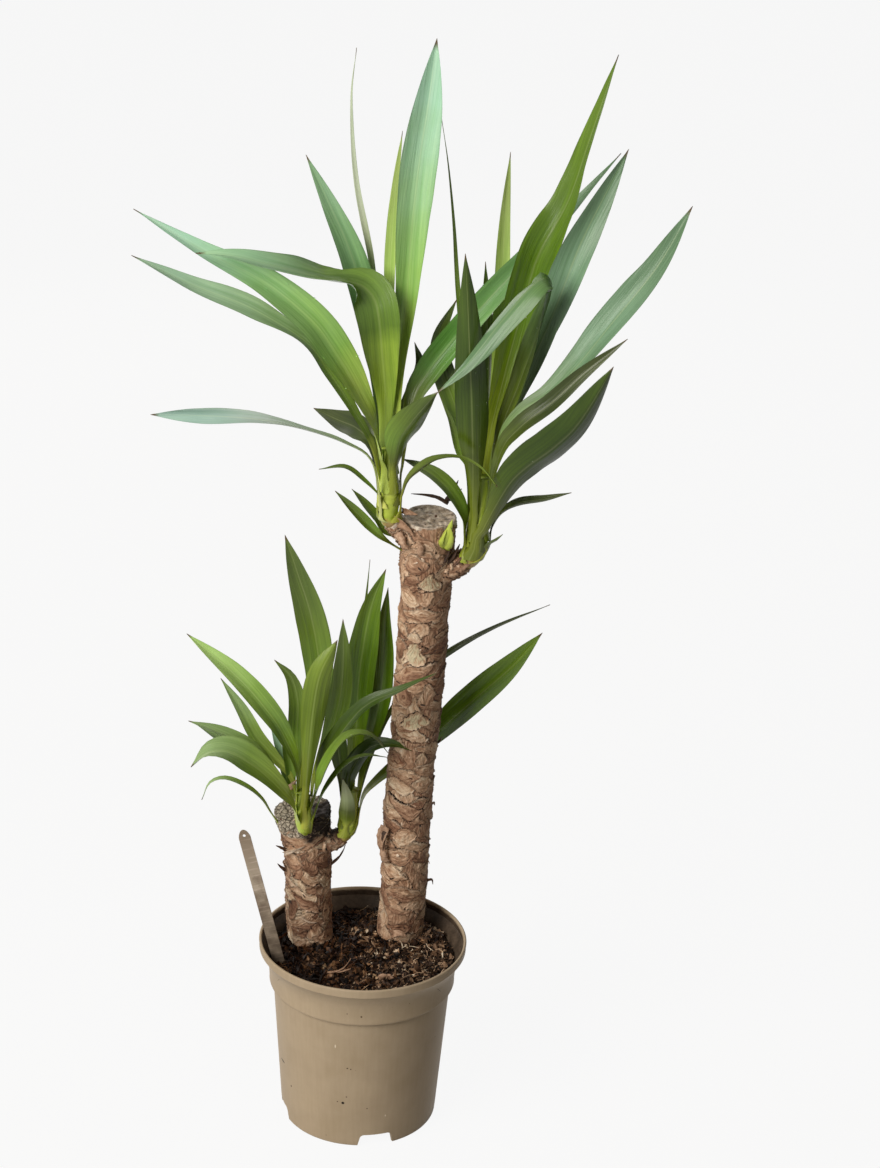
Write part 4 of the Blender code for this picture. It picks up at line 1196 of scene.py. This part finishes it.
# The colour of each kind of leaf at its foot, low, at the middle, high and near the tip, then how rough
# its skin is. The grey, sage and pale kinds, and the blue-green high and tip colours of the fresh,
# folding, turning and slate kinds, hold a painted sheen, the sky's reflection; the dark and shaded kinds
# are darkened with painted shade.
LEAF_PLACES = (0.05, 0.19, 0.39, 0.61, 0.85)
LEAF_KINDS = {
    "fresh": ("#b3c757", "#b3cc53", "#8ab751", "#95c282", "#addabe", 0.28),
    "folding": ("#99af5b", "#a1be43", "#5c7923", "#7b9d4d", "#a3d0a5", 0.26),
    "turning": ("#8f9a3c", "#525e18", "#506418", "#608344", "#6a8b67", 0.28),
    "grey": ("#ccd26a", "#556727", "#6e8b39", "#94b486", "#a3c6a9", 0.3),
    "slate": ("#81882d", "#5f7232", "#5b8f3d", "#6b955b", "#83a982", 0.3),
    "sage": ("#97ab3d", "#6d8447", "#678257", "#7a9c7e", "#698869", 0.3),
    "pale": ("#c3c984", "#919f4d", "#a3b898", "#c1d0c9", "#9cbdb2", 0.34),
    "mature": ("#909c35", "#677726", "#749438", "#667e2c", "#5b6e32", 0.28),
    "deep": ("#9fab39", "#6e821d", "#5b7d16", "#577613", "#617e23", 0.26),
    "dark": ("#727d2a", "#55631b", "#3d5010", "#354a10", "#415617", 0.28),
    "shaded": ("#5a6524", "#495617", "#505e22", "#313d14", "#454f27", 0.3),
    "olive": ("#b9bf4a", "#737e2a", "#6b7e2e", "#637821", "#788e32", 0.3),
    "leafy": ("#c6d258", "#8aa92a", "#688633", "#88ab4d", "#b3d880", 0.26),
    "soft": ("#bbd153", "#b3c159", "#8aa142", "#7f9c46", "#90ab73", 0.3),
    "lime": ("#a9b84a", "#9fb850", "#a6c25c", "#a4c367", "#9bb064", 0.3),
    "straw": ("#a3ac62", "#a8b57a", "#b3c092", "#bec7b0", "#c6d3ba", 0.42),
    "bract": ("#a0aa43", "#73842e", "#5d682f", "#afbd8f", "#c8d2ad", 0.42),
}


def leaf_skin(kind):
    """Living leaf: a waxy skin over parallel veins about a millimetre apart, paler at the foot and along
    the midrib, with a brown dead point, dust specks and a soft gloss."""
    *body, rough = LEAF_KINDS[kind]
    made, tree, shader = finish_named(kind + " yucca leaf")
    share = node(tree, "Attribute", attribute_name="share").outputs["Fac"]
    across = node(tree, "Attribute", attribute_name="across").outputs["Fac"]
    flat = node(tree, "UVMap", uv_map="blade")
    place = node(tree, "TexCoord").outputs["Object"]
    wander = node(tree, "TexNoise", [("Vector", place)], Scale=26, Detail=3)
    drift = node(tree, "Math", [(0, wander), (1, 0.22), (2, -0.11)], operation="MULTIPLY_ADD")
    shifted = node(tree, "Math", [(0, share), (1, drift)], operation="ADD")
    layers = node(tree, "ValToRGB", [("Fac", shifted)], stops=list(zip(LEAF_PLACES, body)))
    bands = []
    for scale, dark, light, most in (
        ((0.95, 0.012, 1), "#999f92", "#dbdfd0", 0.4), ((0.2, 0.008, 1), "#8c947f", "#e2e7d2", 0.45),
    ):
        stretch = node(tree, "Mapping", [("Vector", flat)], Scale=scale)
        band = node(
            tree, "TexNoise", [("Vector", stretch)], noise_dimensions="2D", Scale=1, Detail=3,
            Roughness=0.65,
        )
        veins = node(
            tree, "ValToRGB", [("Fac", band)], stops=[(0.32, dark), (0.5, "#bcbcbc"), (0.68, light)]
        )
        layers = node(
            tree, "Mix", [(0, most), (6, layers), (7, veins)], data_type="RGBA", blend_type="SOFT_LIGHT"
        )
        bands.append(band)
    off = node(tree, "Math", [(0, across)], operation="ABSOLUTE")
    for value, start, stop, most, colour in (
        (off, 0.08, 0.0, 0.13, "#dfe8a8"), (off, 0.9, 0.99, 0.3, "#3c4a1c"),
        (share, 0.972, 0.99, 1.0, "#5d4a2c"),
    ):
        amount = node(
            tree, "MapRange", [("Value", value), ("From Min", start), ("From Max", stop), ("To Max", most)]
        )
        layers = node(tree, "Mix", [(0, amount), (6, layers), (7, colour)], data_type="RGBA")
    dust = node(tree, "TexVoronoi", [("Vector", place)], Scale=60)
    spots = node(
        tree, "MapRange",
        [("Value", dust), ("From Min", 0.02), ("From Max", 0.04), ("To Min", 0.35), ("To Max", 0)],
    )
    dusted = node(tree, "Mix", [(0, spots), (6, layers), (7, "#c9d6bd")], data_type="RGBA")
    fine = node(tree, "Bump", [("Height", bands[0])], Strength=0.2, Distance=0.0002)
    pleat = node(tree, "Bump", [("Height", bands[1]), ("Normal", fine)], Strength=0.3, Distance=0.002)
    fill(
        tree, shader,
        [
            ("Base Color", dusted), ("Roughness", rough),
            ("Specular IOR Level", 0.4 if kind in ("fresh", "leafy") else 0.3), ("Normal", pleat),
        ],
    )
    return made


# Where some leaves are pinched by a fold or a twist and by how much, and how fast the slenderest run out
# to their points.
FOLDED = {
    "tall_left_blade_2": (0.56, 0.42, 0.05), "tall_left_blade_4": (0.5, 0.35, 0.09),
    "tall_right_blade_3": (0.6, 0.35, 0.05),
}
SLENDER = {
    "tall_left_blade_3": 1.5, "tall_left_blade_8": 1.2, "tall_right_blade_2": 0.6, "tall_right_blade_4": 1.6,
    "short_right_blade_3": 1.2,
}


def blade_width(name, share, belly):
    """A leaf's width along its length, as a share of its widest: a narrow foot, a belly and a point,
    and pinched where it is folded."""
    if share < belly:
        wide = 0.28 + 0.72 * smooth(share / belly, 0.15, 1)
    else:
        wide = 1 - ((share - belly) / (1 - belly)) ** SLENDER.get(name, 2)
    fold, pinch, reach = FOLDED.get(name, (0.5, 0, 1))
    return wide * (1 - pinch * math.exp(-(((share - fold) / reach) ** 2)))


def grow_leaf(name, axis, row, outermost, finishes):
    """One blade along its route: its sheath clasps the stem, over the sheaths of the leaves that leave
    the stem higher up, and it is channelled, rippled and thin-edged as far as its point."""
    kind, angle, level, width, belly, turns, route = row
    seed = sum(map(ord, name)) * 0.37
    woody = axis[0][3] > WOODY
    middle, radius = station(axis, level)
    out = Vector((math.cos(math.radians(angle)), math.sin(math.radians(angle)), 0))
    start = middle + out * (radius + (-1 if woody else 0.9))
    points = [start] + [Vector(axis[0][:3]) + Vector(point) for point in route]
    span = sum((b - a).length for a, b in zip(points, points[1:]))
    count = max(LEAST_STATIONS, round(span / LEAF_STATION) + 1)
    places, length = route_through(points, count)
    at_base = angle - 90
    at_base += 360 * round((turns[0] - at_base) / 360)
    facing = [at_base, *turns] if len(turns) > 1 else [at_base, turns[0], turns[0], turns[0]]
    grip_down = 0 if woody else min(SHEATH, level - 2)
    below = [-grip_down * (1 - step / 4) for step in range(4)] if grip_down > 3 else []
    verts, faces, uvs, shares, offs = [], [], [], [], []
    rings = [(run, 0) for run in below] + [(length * step / (count - 1), step) for step in range(count)]
    for run, step in rings:
        share = max(run, 0) / length
        place = places[step]
        along = heading(places, step)
        spot = share * (len(facing) - 1)
        low = min(int(spot), len(facing) - 2)
        turn = math.radians(facing[low] + (facing[low + 1] - facing[low]) * (spot - low))
        front = Vector((0, -1, 0))
        front = (front - along * front.dot(along)).normalized()
        face = front * math.cos(turn) + along.cross(front) * math.sin(turn)
        across = along.cross(face)
        half = max(width * blade_width(name, share, belly), LEAF_TIP) / 2
        grip = 0 if woody else 1 - smooth(run, 0, CLASP)
        stem_middle, stem_radius = station(axis, max(level + run, 1))
        stem_radius += 0.7 + 0.03 * (outermost - level)
        wrap = half + (1.35 * stem_radius - half) * smooth(-run, 0, SHEATH)
        thick = 1.5 - 0.9 * smooth(share, 0, 0.5) - 0.2 * share
        ripple = 0.5 * smooth(share, 0.1, 0.3)
        top, bottom = [], []
        for u in LEAF_COLUMNS:
            swell = ripple * noise.noise(Vector((run / 19, 2.5 * u, seed)))
            curl = half * CHANNEL * min(1, share / 0.25) * (abs(u) ** 1.3 - 0.4) + swell * abs(u)
            point = place + across * (half * u * (1 + 0.05 * swell)) + face * curl
            bearing = math.radians(angle) - u * wrap / stem_radius
            radial = Vector((math.cos(bearing), math.sin(bearing), 0))
            point = point.lerp(stem_middle + radial * stem_radius, grip)
            away = face.lerp(-radial, grip)
            skin = (LEAF_EDGE + thick * (1 - u * u)) / 2
            top.append(point + away * skin if abs(u) < 1 else point)
            if abs(u) < 1:
                bottom.append(point - away * skin)
        ring = top + bottom[::-1]
        verts += ring
        for u in (*LEAF_COLUMNS, *LEAF_COLUMNS[-2:0:-1]):
            uvs.append((u * half * 1.1 + seed, run))
            shares.append(share)
            offs.append(u)
    size = len(ring)
    for row_index in range(len(rings) - 1):
        for column in range(size):
            a, b = row_index * size + column, row_index * size + (column + 1) % size
            faces.append((a, b, b + size, a + size))
    tip = len(verts)
    verts.append(places[-1] + along * 0.6)
    uvs.append((seed, length))
    shares.append(1)
    offs.append(0)
    last = (len(rings) - 1) * size
    faces += [(last + column, last + (column + 1) % size, tip) for column in range(size)]
    faces.append(tuple(range(size))[::-1])
    made = piece_of(name, verts, faces, finishes[kind])
    outward(made)
    unroll(made.data, "blade", uvs)
    tell(made, share=shares, across=offs)
    made.data.set_sharp_from_angle(angle=math.radians(62))
    keep(made, "leaf_green", *([name.replace("_blade", "_leaf")] if "_blade" in name else []))


leaf_skins = {kind: leaf_skin(kind) for kind in LEAF_KINDS}
stems = {**CROWNS, "tall_cane": TALL_CANE, "short_cane": SHORT_CANE}
for stem, rows in LEAVES.items():
    outermost = max(row[2] for row in rows)
    for index, row in enumerate(rows):
        grow_leaf(f"{stem}_blade_{index + 1}", stems[stem], row, outermost, leaf_skins)


# --- Torn bark, buds and water drops -----------------------------------------------------------------
# What hangs loose on the canes: papery curls where shoots broke through, bristles and small flakes of
# dry bark, a dark burl low on the tall cane, a rolled green bud by its top, and drops left by watering.

TORN_BITS = (
    # tone from black to cream, width, way across, route
    (0.66, 8, (1, -0.5, 0), ((16, 10, 257), (13.4, 8, 251), (12.2, 7, 243), (13.6, 9, 234))),
    (0.74, 7, (1, -0.5, 0.2), ((16, 10, 224), (14, 8, 230), (13.4, 8, 237), (14.6, 9, 246))),
    (0.12, 5, (1, -0.6, 0), ((16, 7.2, 254), (14.8, 6, 249), (14.5, 6, 243))),
    (0.6, 9, (0.3, -0.4, 1), ((13, -9, 533), (20, -14, 532), (27, -18, 528), (31, -20, 523))),
    (0.75, 7, (0.4, -0.5, -1), ((16, -13, 523), (22, -18, 518), (27, -20, 512))),
    (0.55, 5, (0.2, -0.3, 1), ((21, -8, 540), (28, -13, 540), (33, -17, 540))),
    (0.7, 6, (1, -0.4, 0.2), ((35, -20, 508), (36, -22, 514), (34, -23, 521))),
    (0.15, 5, (0.6, -1, 0), ((56, -10, 499), (62, -10, 507), (66, -9, 514))),
    (0.3, 4, (0.6, -1, 0.3), ((61, -11, 497), (67, -11, 504), (71, -10, 511))),
    (0.08, 4, (0.6, -1, -0.4), ((53, -13, 500), (57, -14, 508), (58, -13, 515))),
    (0.5, 5, (0.6, -1, -0.4), ((66, -12, 494), (72, -12, 499), (76, -11, 505))),
    (0.12, 3, (0, 1, 0.5), ((-27.5, 15, 218), (-22, 14.5, 224), (-18.4, 14, 231), (-16.7, 14, 237))),
    (0.3, 3.5, (0, 1, 0.3), ((-64, 13, 231), (-69.5, 10, 235), (-73, 9, 236.6))),
    (0.2, 3.5, (0, 1, 0.3), ((-65, 13, 213), (-68.7, 11, 216.5), (-71.5, 10, 219.5))),
    (0.95, 3.4, (0.3, -0.5, 1), ((-66, 5, 232), (-58, 1, 237), (-49, 1.5, 241))),
    (0.85, 2.4, (0.3, -0.5, 1), ((-64, 5, 212), (-58, 1.2, 206), (-51, 1.2, 201))),
    (0.9, 2, (0.3, -0.5, 1), ((-52, 1, 176), (-45, 0.5, 172), (-38, 1, 171))),
    (0.8, 7, (0.6, 0.2, -1), ((-64, 6, 284), (-61, 5, 292), (-57, 5, 299))),
    (0.1, 2.6, (0, 0.6, 1), ((56, 11, 539), (48, 12, 543.4), (38, 12, 545.2), (27, 12, 545.6))),
    (0.05, 4, (1, 0.4, 0), ((55, 12, 540), (58.6, 12, 547), (60.7, 10, 552), (63, 10, 559))),
    (0.05, 3, (1, 0.4, 0), ((57, 12, 541), (63, 12, 548), (66, 10, 552))),
    (0.56, 1.5, (0.4, 1, 0.4), ((-27, -37, 147), (-19, -42, 151.5), (-13, -43, 156), (-8, -42, 164))),
    (0.62, 1.3, (0.4, 1, 0.4), ((-19, -42, 150.8), (-15, -43, 152), (-8, -43, 155))),
    (0.66, 5, (0.3, 0.5, 1), ((25, 10, 158), (30.5, 8, 160), (36, 9, 156))),
    (0.62, 8, (1, 0.3, 0), ((16, -50, 150), (21, -50, 153), (27, -49, 152))),
    (0.7, 3, (1, 0, 0.4), ((50, 23, 272), (53.4, 24, 274), (54.6, 24, 271))),
    (0.2, 3, (0, 1, 0.2), ((51, 22, 202), (54.4, 22, 203), (55.6, 22, 199))),
    (0.3, 3, (0, 1, 0.2), ((54, 16, 330), (57, 16, 333), (58.2, 16, 337))),
)


def torn_paper():
    """Dry dead leaf base: thin as paper, buff to black, with fine fibres along it."""
    made, tree, shader = finish_named("torn papery bark")
    tone = node(tree, "Attribute", attribute_name="tone").outputs["Fac"]
    place = node(tree, "TexCoord").outputs["Object"]
    body = node(
        tree, "ValToRGB", [("Fac", tone)],
        stops=[(0, "#1d140e"), (0.3, "#5b4334"), (0.6, "#9a7c66"), (0.8, "#bfa088"), (1, "#e3d1bd")],
    )
    blot = node(tree, "TexNoise", [("Vector", place)], Scale=480, Detail=3)
    blots = node(tree, "ValToRGB", [("Fac", blot)], stops=[(0.3, "#77706a"), (0.7, "#f0ece8")])
    mixed = node(tree, "Mix", [(0, 0.8), (6, body), (7, blots)], data_type="RGBA", blend_type="SOFT_LIGHT")
    bump = node(tree, "Bump", [("Height", blot)], Strength=0.6, Distance=0.0006)
    fill(
        tree, shader,
        [("Base Color", mixed), ("Roughness", 0.6), ("Specular IOR Level", 0.25), ("Normal", bump)],
    )
    return made


def curl_of(width, across, route, rings=12):
    """A thin strip that hollows across its width and runs out to a ragged point."""
    places = route_through([Vector(point) for point in route], rings)[0]
    verts = []
    for step, place in enumerate(places):
        share = step / (rings - 1)
        along = heading(places, step)
        side = (Vector(across) - along * along.dot(Vector(across))).normalized()
        face = along.cross(side)
        half = width / 2 * (1 - share**2.2) * (1 + 0.35 * noise.noise(place / 2.2)) + 0.15
        ring = [place + side * half * u + face * (0.45 * half * u * u + 0.2) for u in (-1, -0.5, 0, 0.5, 1)]
        ring += [place + side * half * u + face * (0.45 * half * u * u - 0.2) for u in (1, 0.5, 0, -0.5, -1)]
        verts += ring
    faces = tube_faces(0, rings, 10)
    faces += [tuple(range(10))[::-1], tuple(range(10 * rings - 10, 10 * rings))]
    return verts, faces


def curled(name, rows, finish, told, slot_name):
    """Strips as one piece. A row gives what a strip tells its finish, its width, way across and route."""
    verts, faces, values = [], [], []
    for value, width, across, route in rows:
        points, sides = curl_of(width, across, route)
        faces += [tuple(len(verts) + corner for corner in side) for side in sides]
        verts += points
        values += [value] * len(points)
    made = piece_of(name, verts, faces, finish)
    outward(made)
    tell(made, **{told: values})
    keep(made, slot_name)


papery = torn_paper()
curled("torn_bark_bits", TORN_BITS, papery, "tone", "cane_bark")

strewing = bpy.data.node_groups["strewn pieces"]
flake = splinter("flake", 1, 0.5, 1.0)
for trunk, density in (("tall_trunk", 3400), ("short_trunk", 3800)):
    strew(
        trunk + "_flakes", bpy.data.objects[trunk], strewing, "cane_bark", shape=flake, finish=papery,
        per_square_metre=density, seed=5, least_size=(2, 1.2, 0.3), most_size=(7.5, 3, 0.8), tumble=0.55,
        lift=0.3,
    )

YOUNG_LEAVES = (
    ("young_sprout_1", "short_right", ("dark", 100, 20, 15, 0.5, (-20, -50, -80),
     ((4, -6, 52), (10, -10, 72), (22, -14, 88), (38, -16, 92), (56, -16, 86)))),
    ("young_sprout_2", "short_right", ("dark", 170, 24, 15, 0.5, (10, 20, 20),
     ((-2, 6, 52), (-6, 10, 80), (-8, 12, 108), (-4, 14, 134)))),
    ("young_sprout_3", "short_left", ("grey", 130, 22, 9, 0.5, (30,),
     ((-13, 14, 30), (-19, 20, 48), (-24, 24, 62), (-30, 28, 76)))),
    ("young_sprout_4", "short_left", ("mature", 110, 24, 9, 0.5, (20,),
     ((-11, 10, 28), (-14, 16, 50), (-18, 20, 68), (-20, 22, 84)))),
)
for name, stem, row in YOUNG_LEAVES:
    grow_leaf(name, CROWNS[stem], row, row[2], leaf_skins)

BUD_SCALES = (
    (0.5, 8, (1, -0.3, 0), ((52, -15, 512), (54, -20, 520), (57, -22, 530), (59.5, -22, 539))),
    (0.5, 6, (1, -0.6, 0), ((55, -16, 512), (58, -21, 520), (59, -23, 527), (58, -24, 533))),
    (0.5, 5, (0.8, -0.8, 0), ((51, -15, 513), (51, -20, 519), (53, -22, 525), (55.5, -22, 530))),
)
curled("rolled_bud", BUD_SCALES, shoot_finish, "share", "crown_stem")


def water():
    """Tap water in small beads: clear, with the index of refraction of water."""
    made, tree, shader = finish_named("water drop")
    fill(
        tree, shader,
        [("Base Color", "#f4faf6"), ("Transmission Weight", 1), ("IOR", 1.33), ("Roughness", 0.02)],
    )
    return made


drop = splinter("drop", 2, 0.12, 0.0)
wet = water()
for blade, seed in (("tall_left_blade_3", 4), ("tall_left_blade_14", 9), ("tall_right_blade_1", 2)):
    strew(
        blade + "_drops", bpy.data.objects[blade], strewing, "leaf_green", shape=drop, finish=wet,
        per_square_metre=1100, seed=seed, least_size=(1, 1, 0.7), most_size=(3.2, 2.8, 1.4), tumble=0.1,
        lift=0.2,
    )


# --- Studio ------------------------------------------------------------------------------------------
# A seamless pale floor under a big soft window to the left of the camera, with a weak one behind and
# weak fill from the surroundings, and the camera a little above the plant, looking down on it.

def shown(tree, most):
    """The share of the plain white that a ray sees when it shows the backdrop itself: one from the
    camera, or one that left it and met a glossy or a clear piece."""
    ray = node(tree, "LightPath").outputs
    seen = node(tree, "Math", [(0, ray["Is Camera Ray"]), (1, ray["Is Glossy Ray"])], operation="MAXIMUM")
    seen = node(tree, "Math", [(0, seen), (1, ray["Is Transmission Ray"])], operation="MAXIMUM")
    return node(tree, "Math", [(0, seen), (1, most)], operation="MULTIPLY")


def seamless_paper():
    """Matt white paper. The camera sees it nearly white, with the plant's shadow still on it."""
    made, tree, shader = finish_named("seamless white paper")
    place = node(tree, "TexCoord").outputs["Object"]
    tooth = node(tree, "TexNoise", [("Vector", place)], Scale=3, Detail=2)
    tone = node(tree, "ValToRGB", [("Fac", tooth)], stops=[(0.3, "#b2b1ae"), (0.7, "#b7b6b3")])
    fill(tree, shader, [("Base Color", tone), ("Roughness", 0.95), ("Specular IOR Level", 0.1)])
    glow = node(tree, "Emission", [("Color", "#ffffff")], Strength=1.0)
    both = node(tree, "MixShader", [(0, shown(tree, 0.92)), (1, shader), (2, glow)])
    fill(tree, tree.nodes["Material Output"], [("Surface", both)])
    return made


FLOOR_REACH = 14000
corners = [(FLOOR_REACH * x, FLOOR_REACH * y, 0) for x, y in ((-1, -1), (1, -1), (1, 1), (-1, 1))]
floor = piece_of("studio_floor", corners, [(0, 1, 2, 3)], seamless_paper(), shade=False)

world = bpy.context.scene.world or bpy.data.worlds.new("studio")
bpy.context.scene.world = world
world.use_nodes = True
sky = world.node_tree
surround = sky.nodes["Background"]
fill(sky, surround, [("Color", "#fff0de"), ("Strength", 0.09)])
seen = node(sky, "Background", [("Color", "#f8f8f8")], Strength=1.0)
both = node(sky, "MixShader", [(0, shown(sky, 1)), (1, surround), (2, seen)])
fill(sky, sky.nodes["World Output"], [("Surface", both)])


def window(name, place, aim, size, watts, colour):
    """A soft rectangular light, aimed at a place."""
    light = bpy.data.lights.new(name, "AREA")
    light.shape, light.size, light.size_y = "RECTANGLE", *size
    light.energy = watts
    light.color = linear(colour)[:3]
    lamp = placed(name, light)
    lamp.visible_camera = False
    lamp.location = place
    lamp.rotation_euler = (Vector(aim) - Vector(place)).to_track_quat("-Z", "Y").to_euler()


window("key_window", (-1.55, -1.75, 1.8), (0, 0, 0.45), (1.7, 1.9), 80, "#fffaf3")
window("back_fill", (-0.7, 2.0, 1.2), (0, 0, 0.4), (2.0, 1.8), 10, "#fff6ea")

CAMERA_PLACE = (0.052, -1.969, 1.308)
tip_down, roll = math.radians(22.9), math.radians(2.2)
ahead = Vector((0, math.cos(tip_down), -math.sin(tip_down)))
right = Vector((1, 0, 0))
up = right.cross(ahead)
right, up = right * math.cos(roll) + up * math.sin(roll), up * math.cos(roll) - right * math.sin(roll)
lens = bpy.data.cameras.new("camera")
lens.lens, lens.sensor_width = 85, 36
camera = placed("camera", lens)
turned = Matrix((right, up, -ahead)).transposed().to_4x4()
camera.matrix_world = Matrix.Translation(CAMERA_PLACE) @ turned
bpy.context.scene.camera = camera
bpy.context.scene.view_settings.view_transform = "Standard"
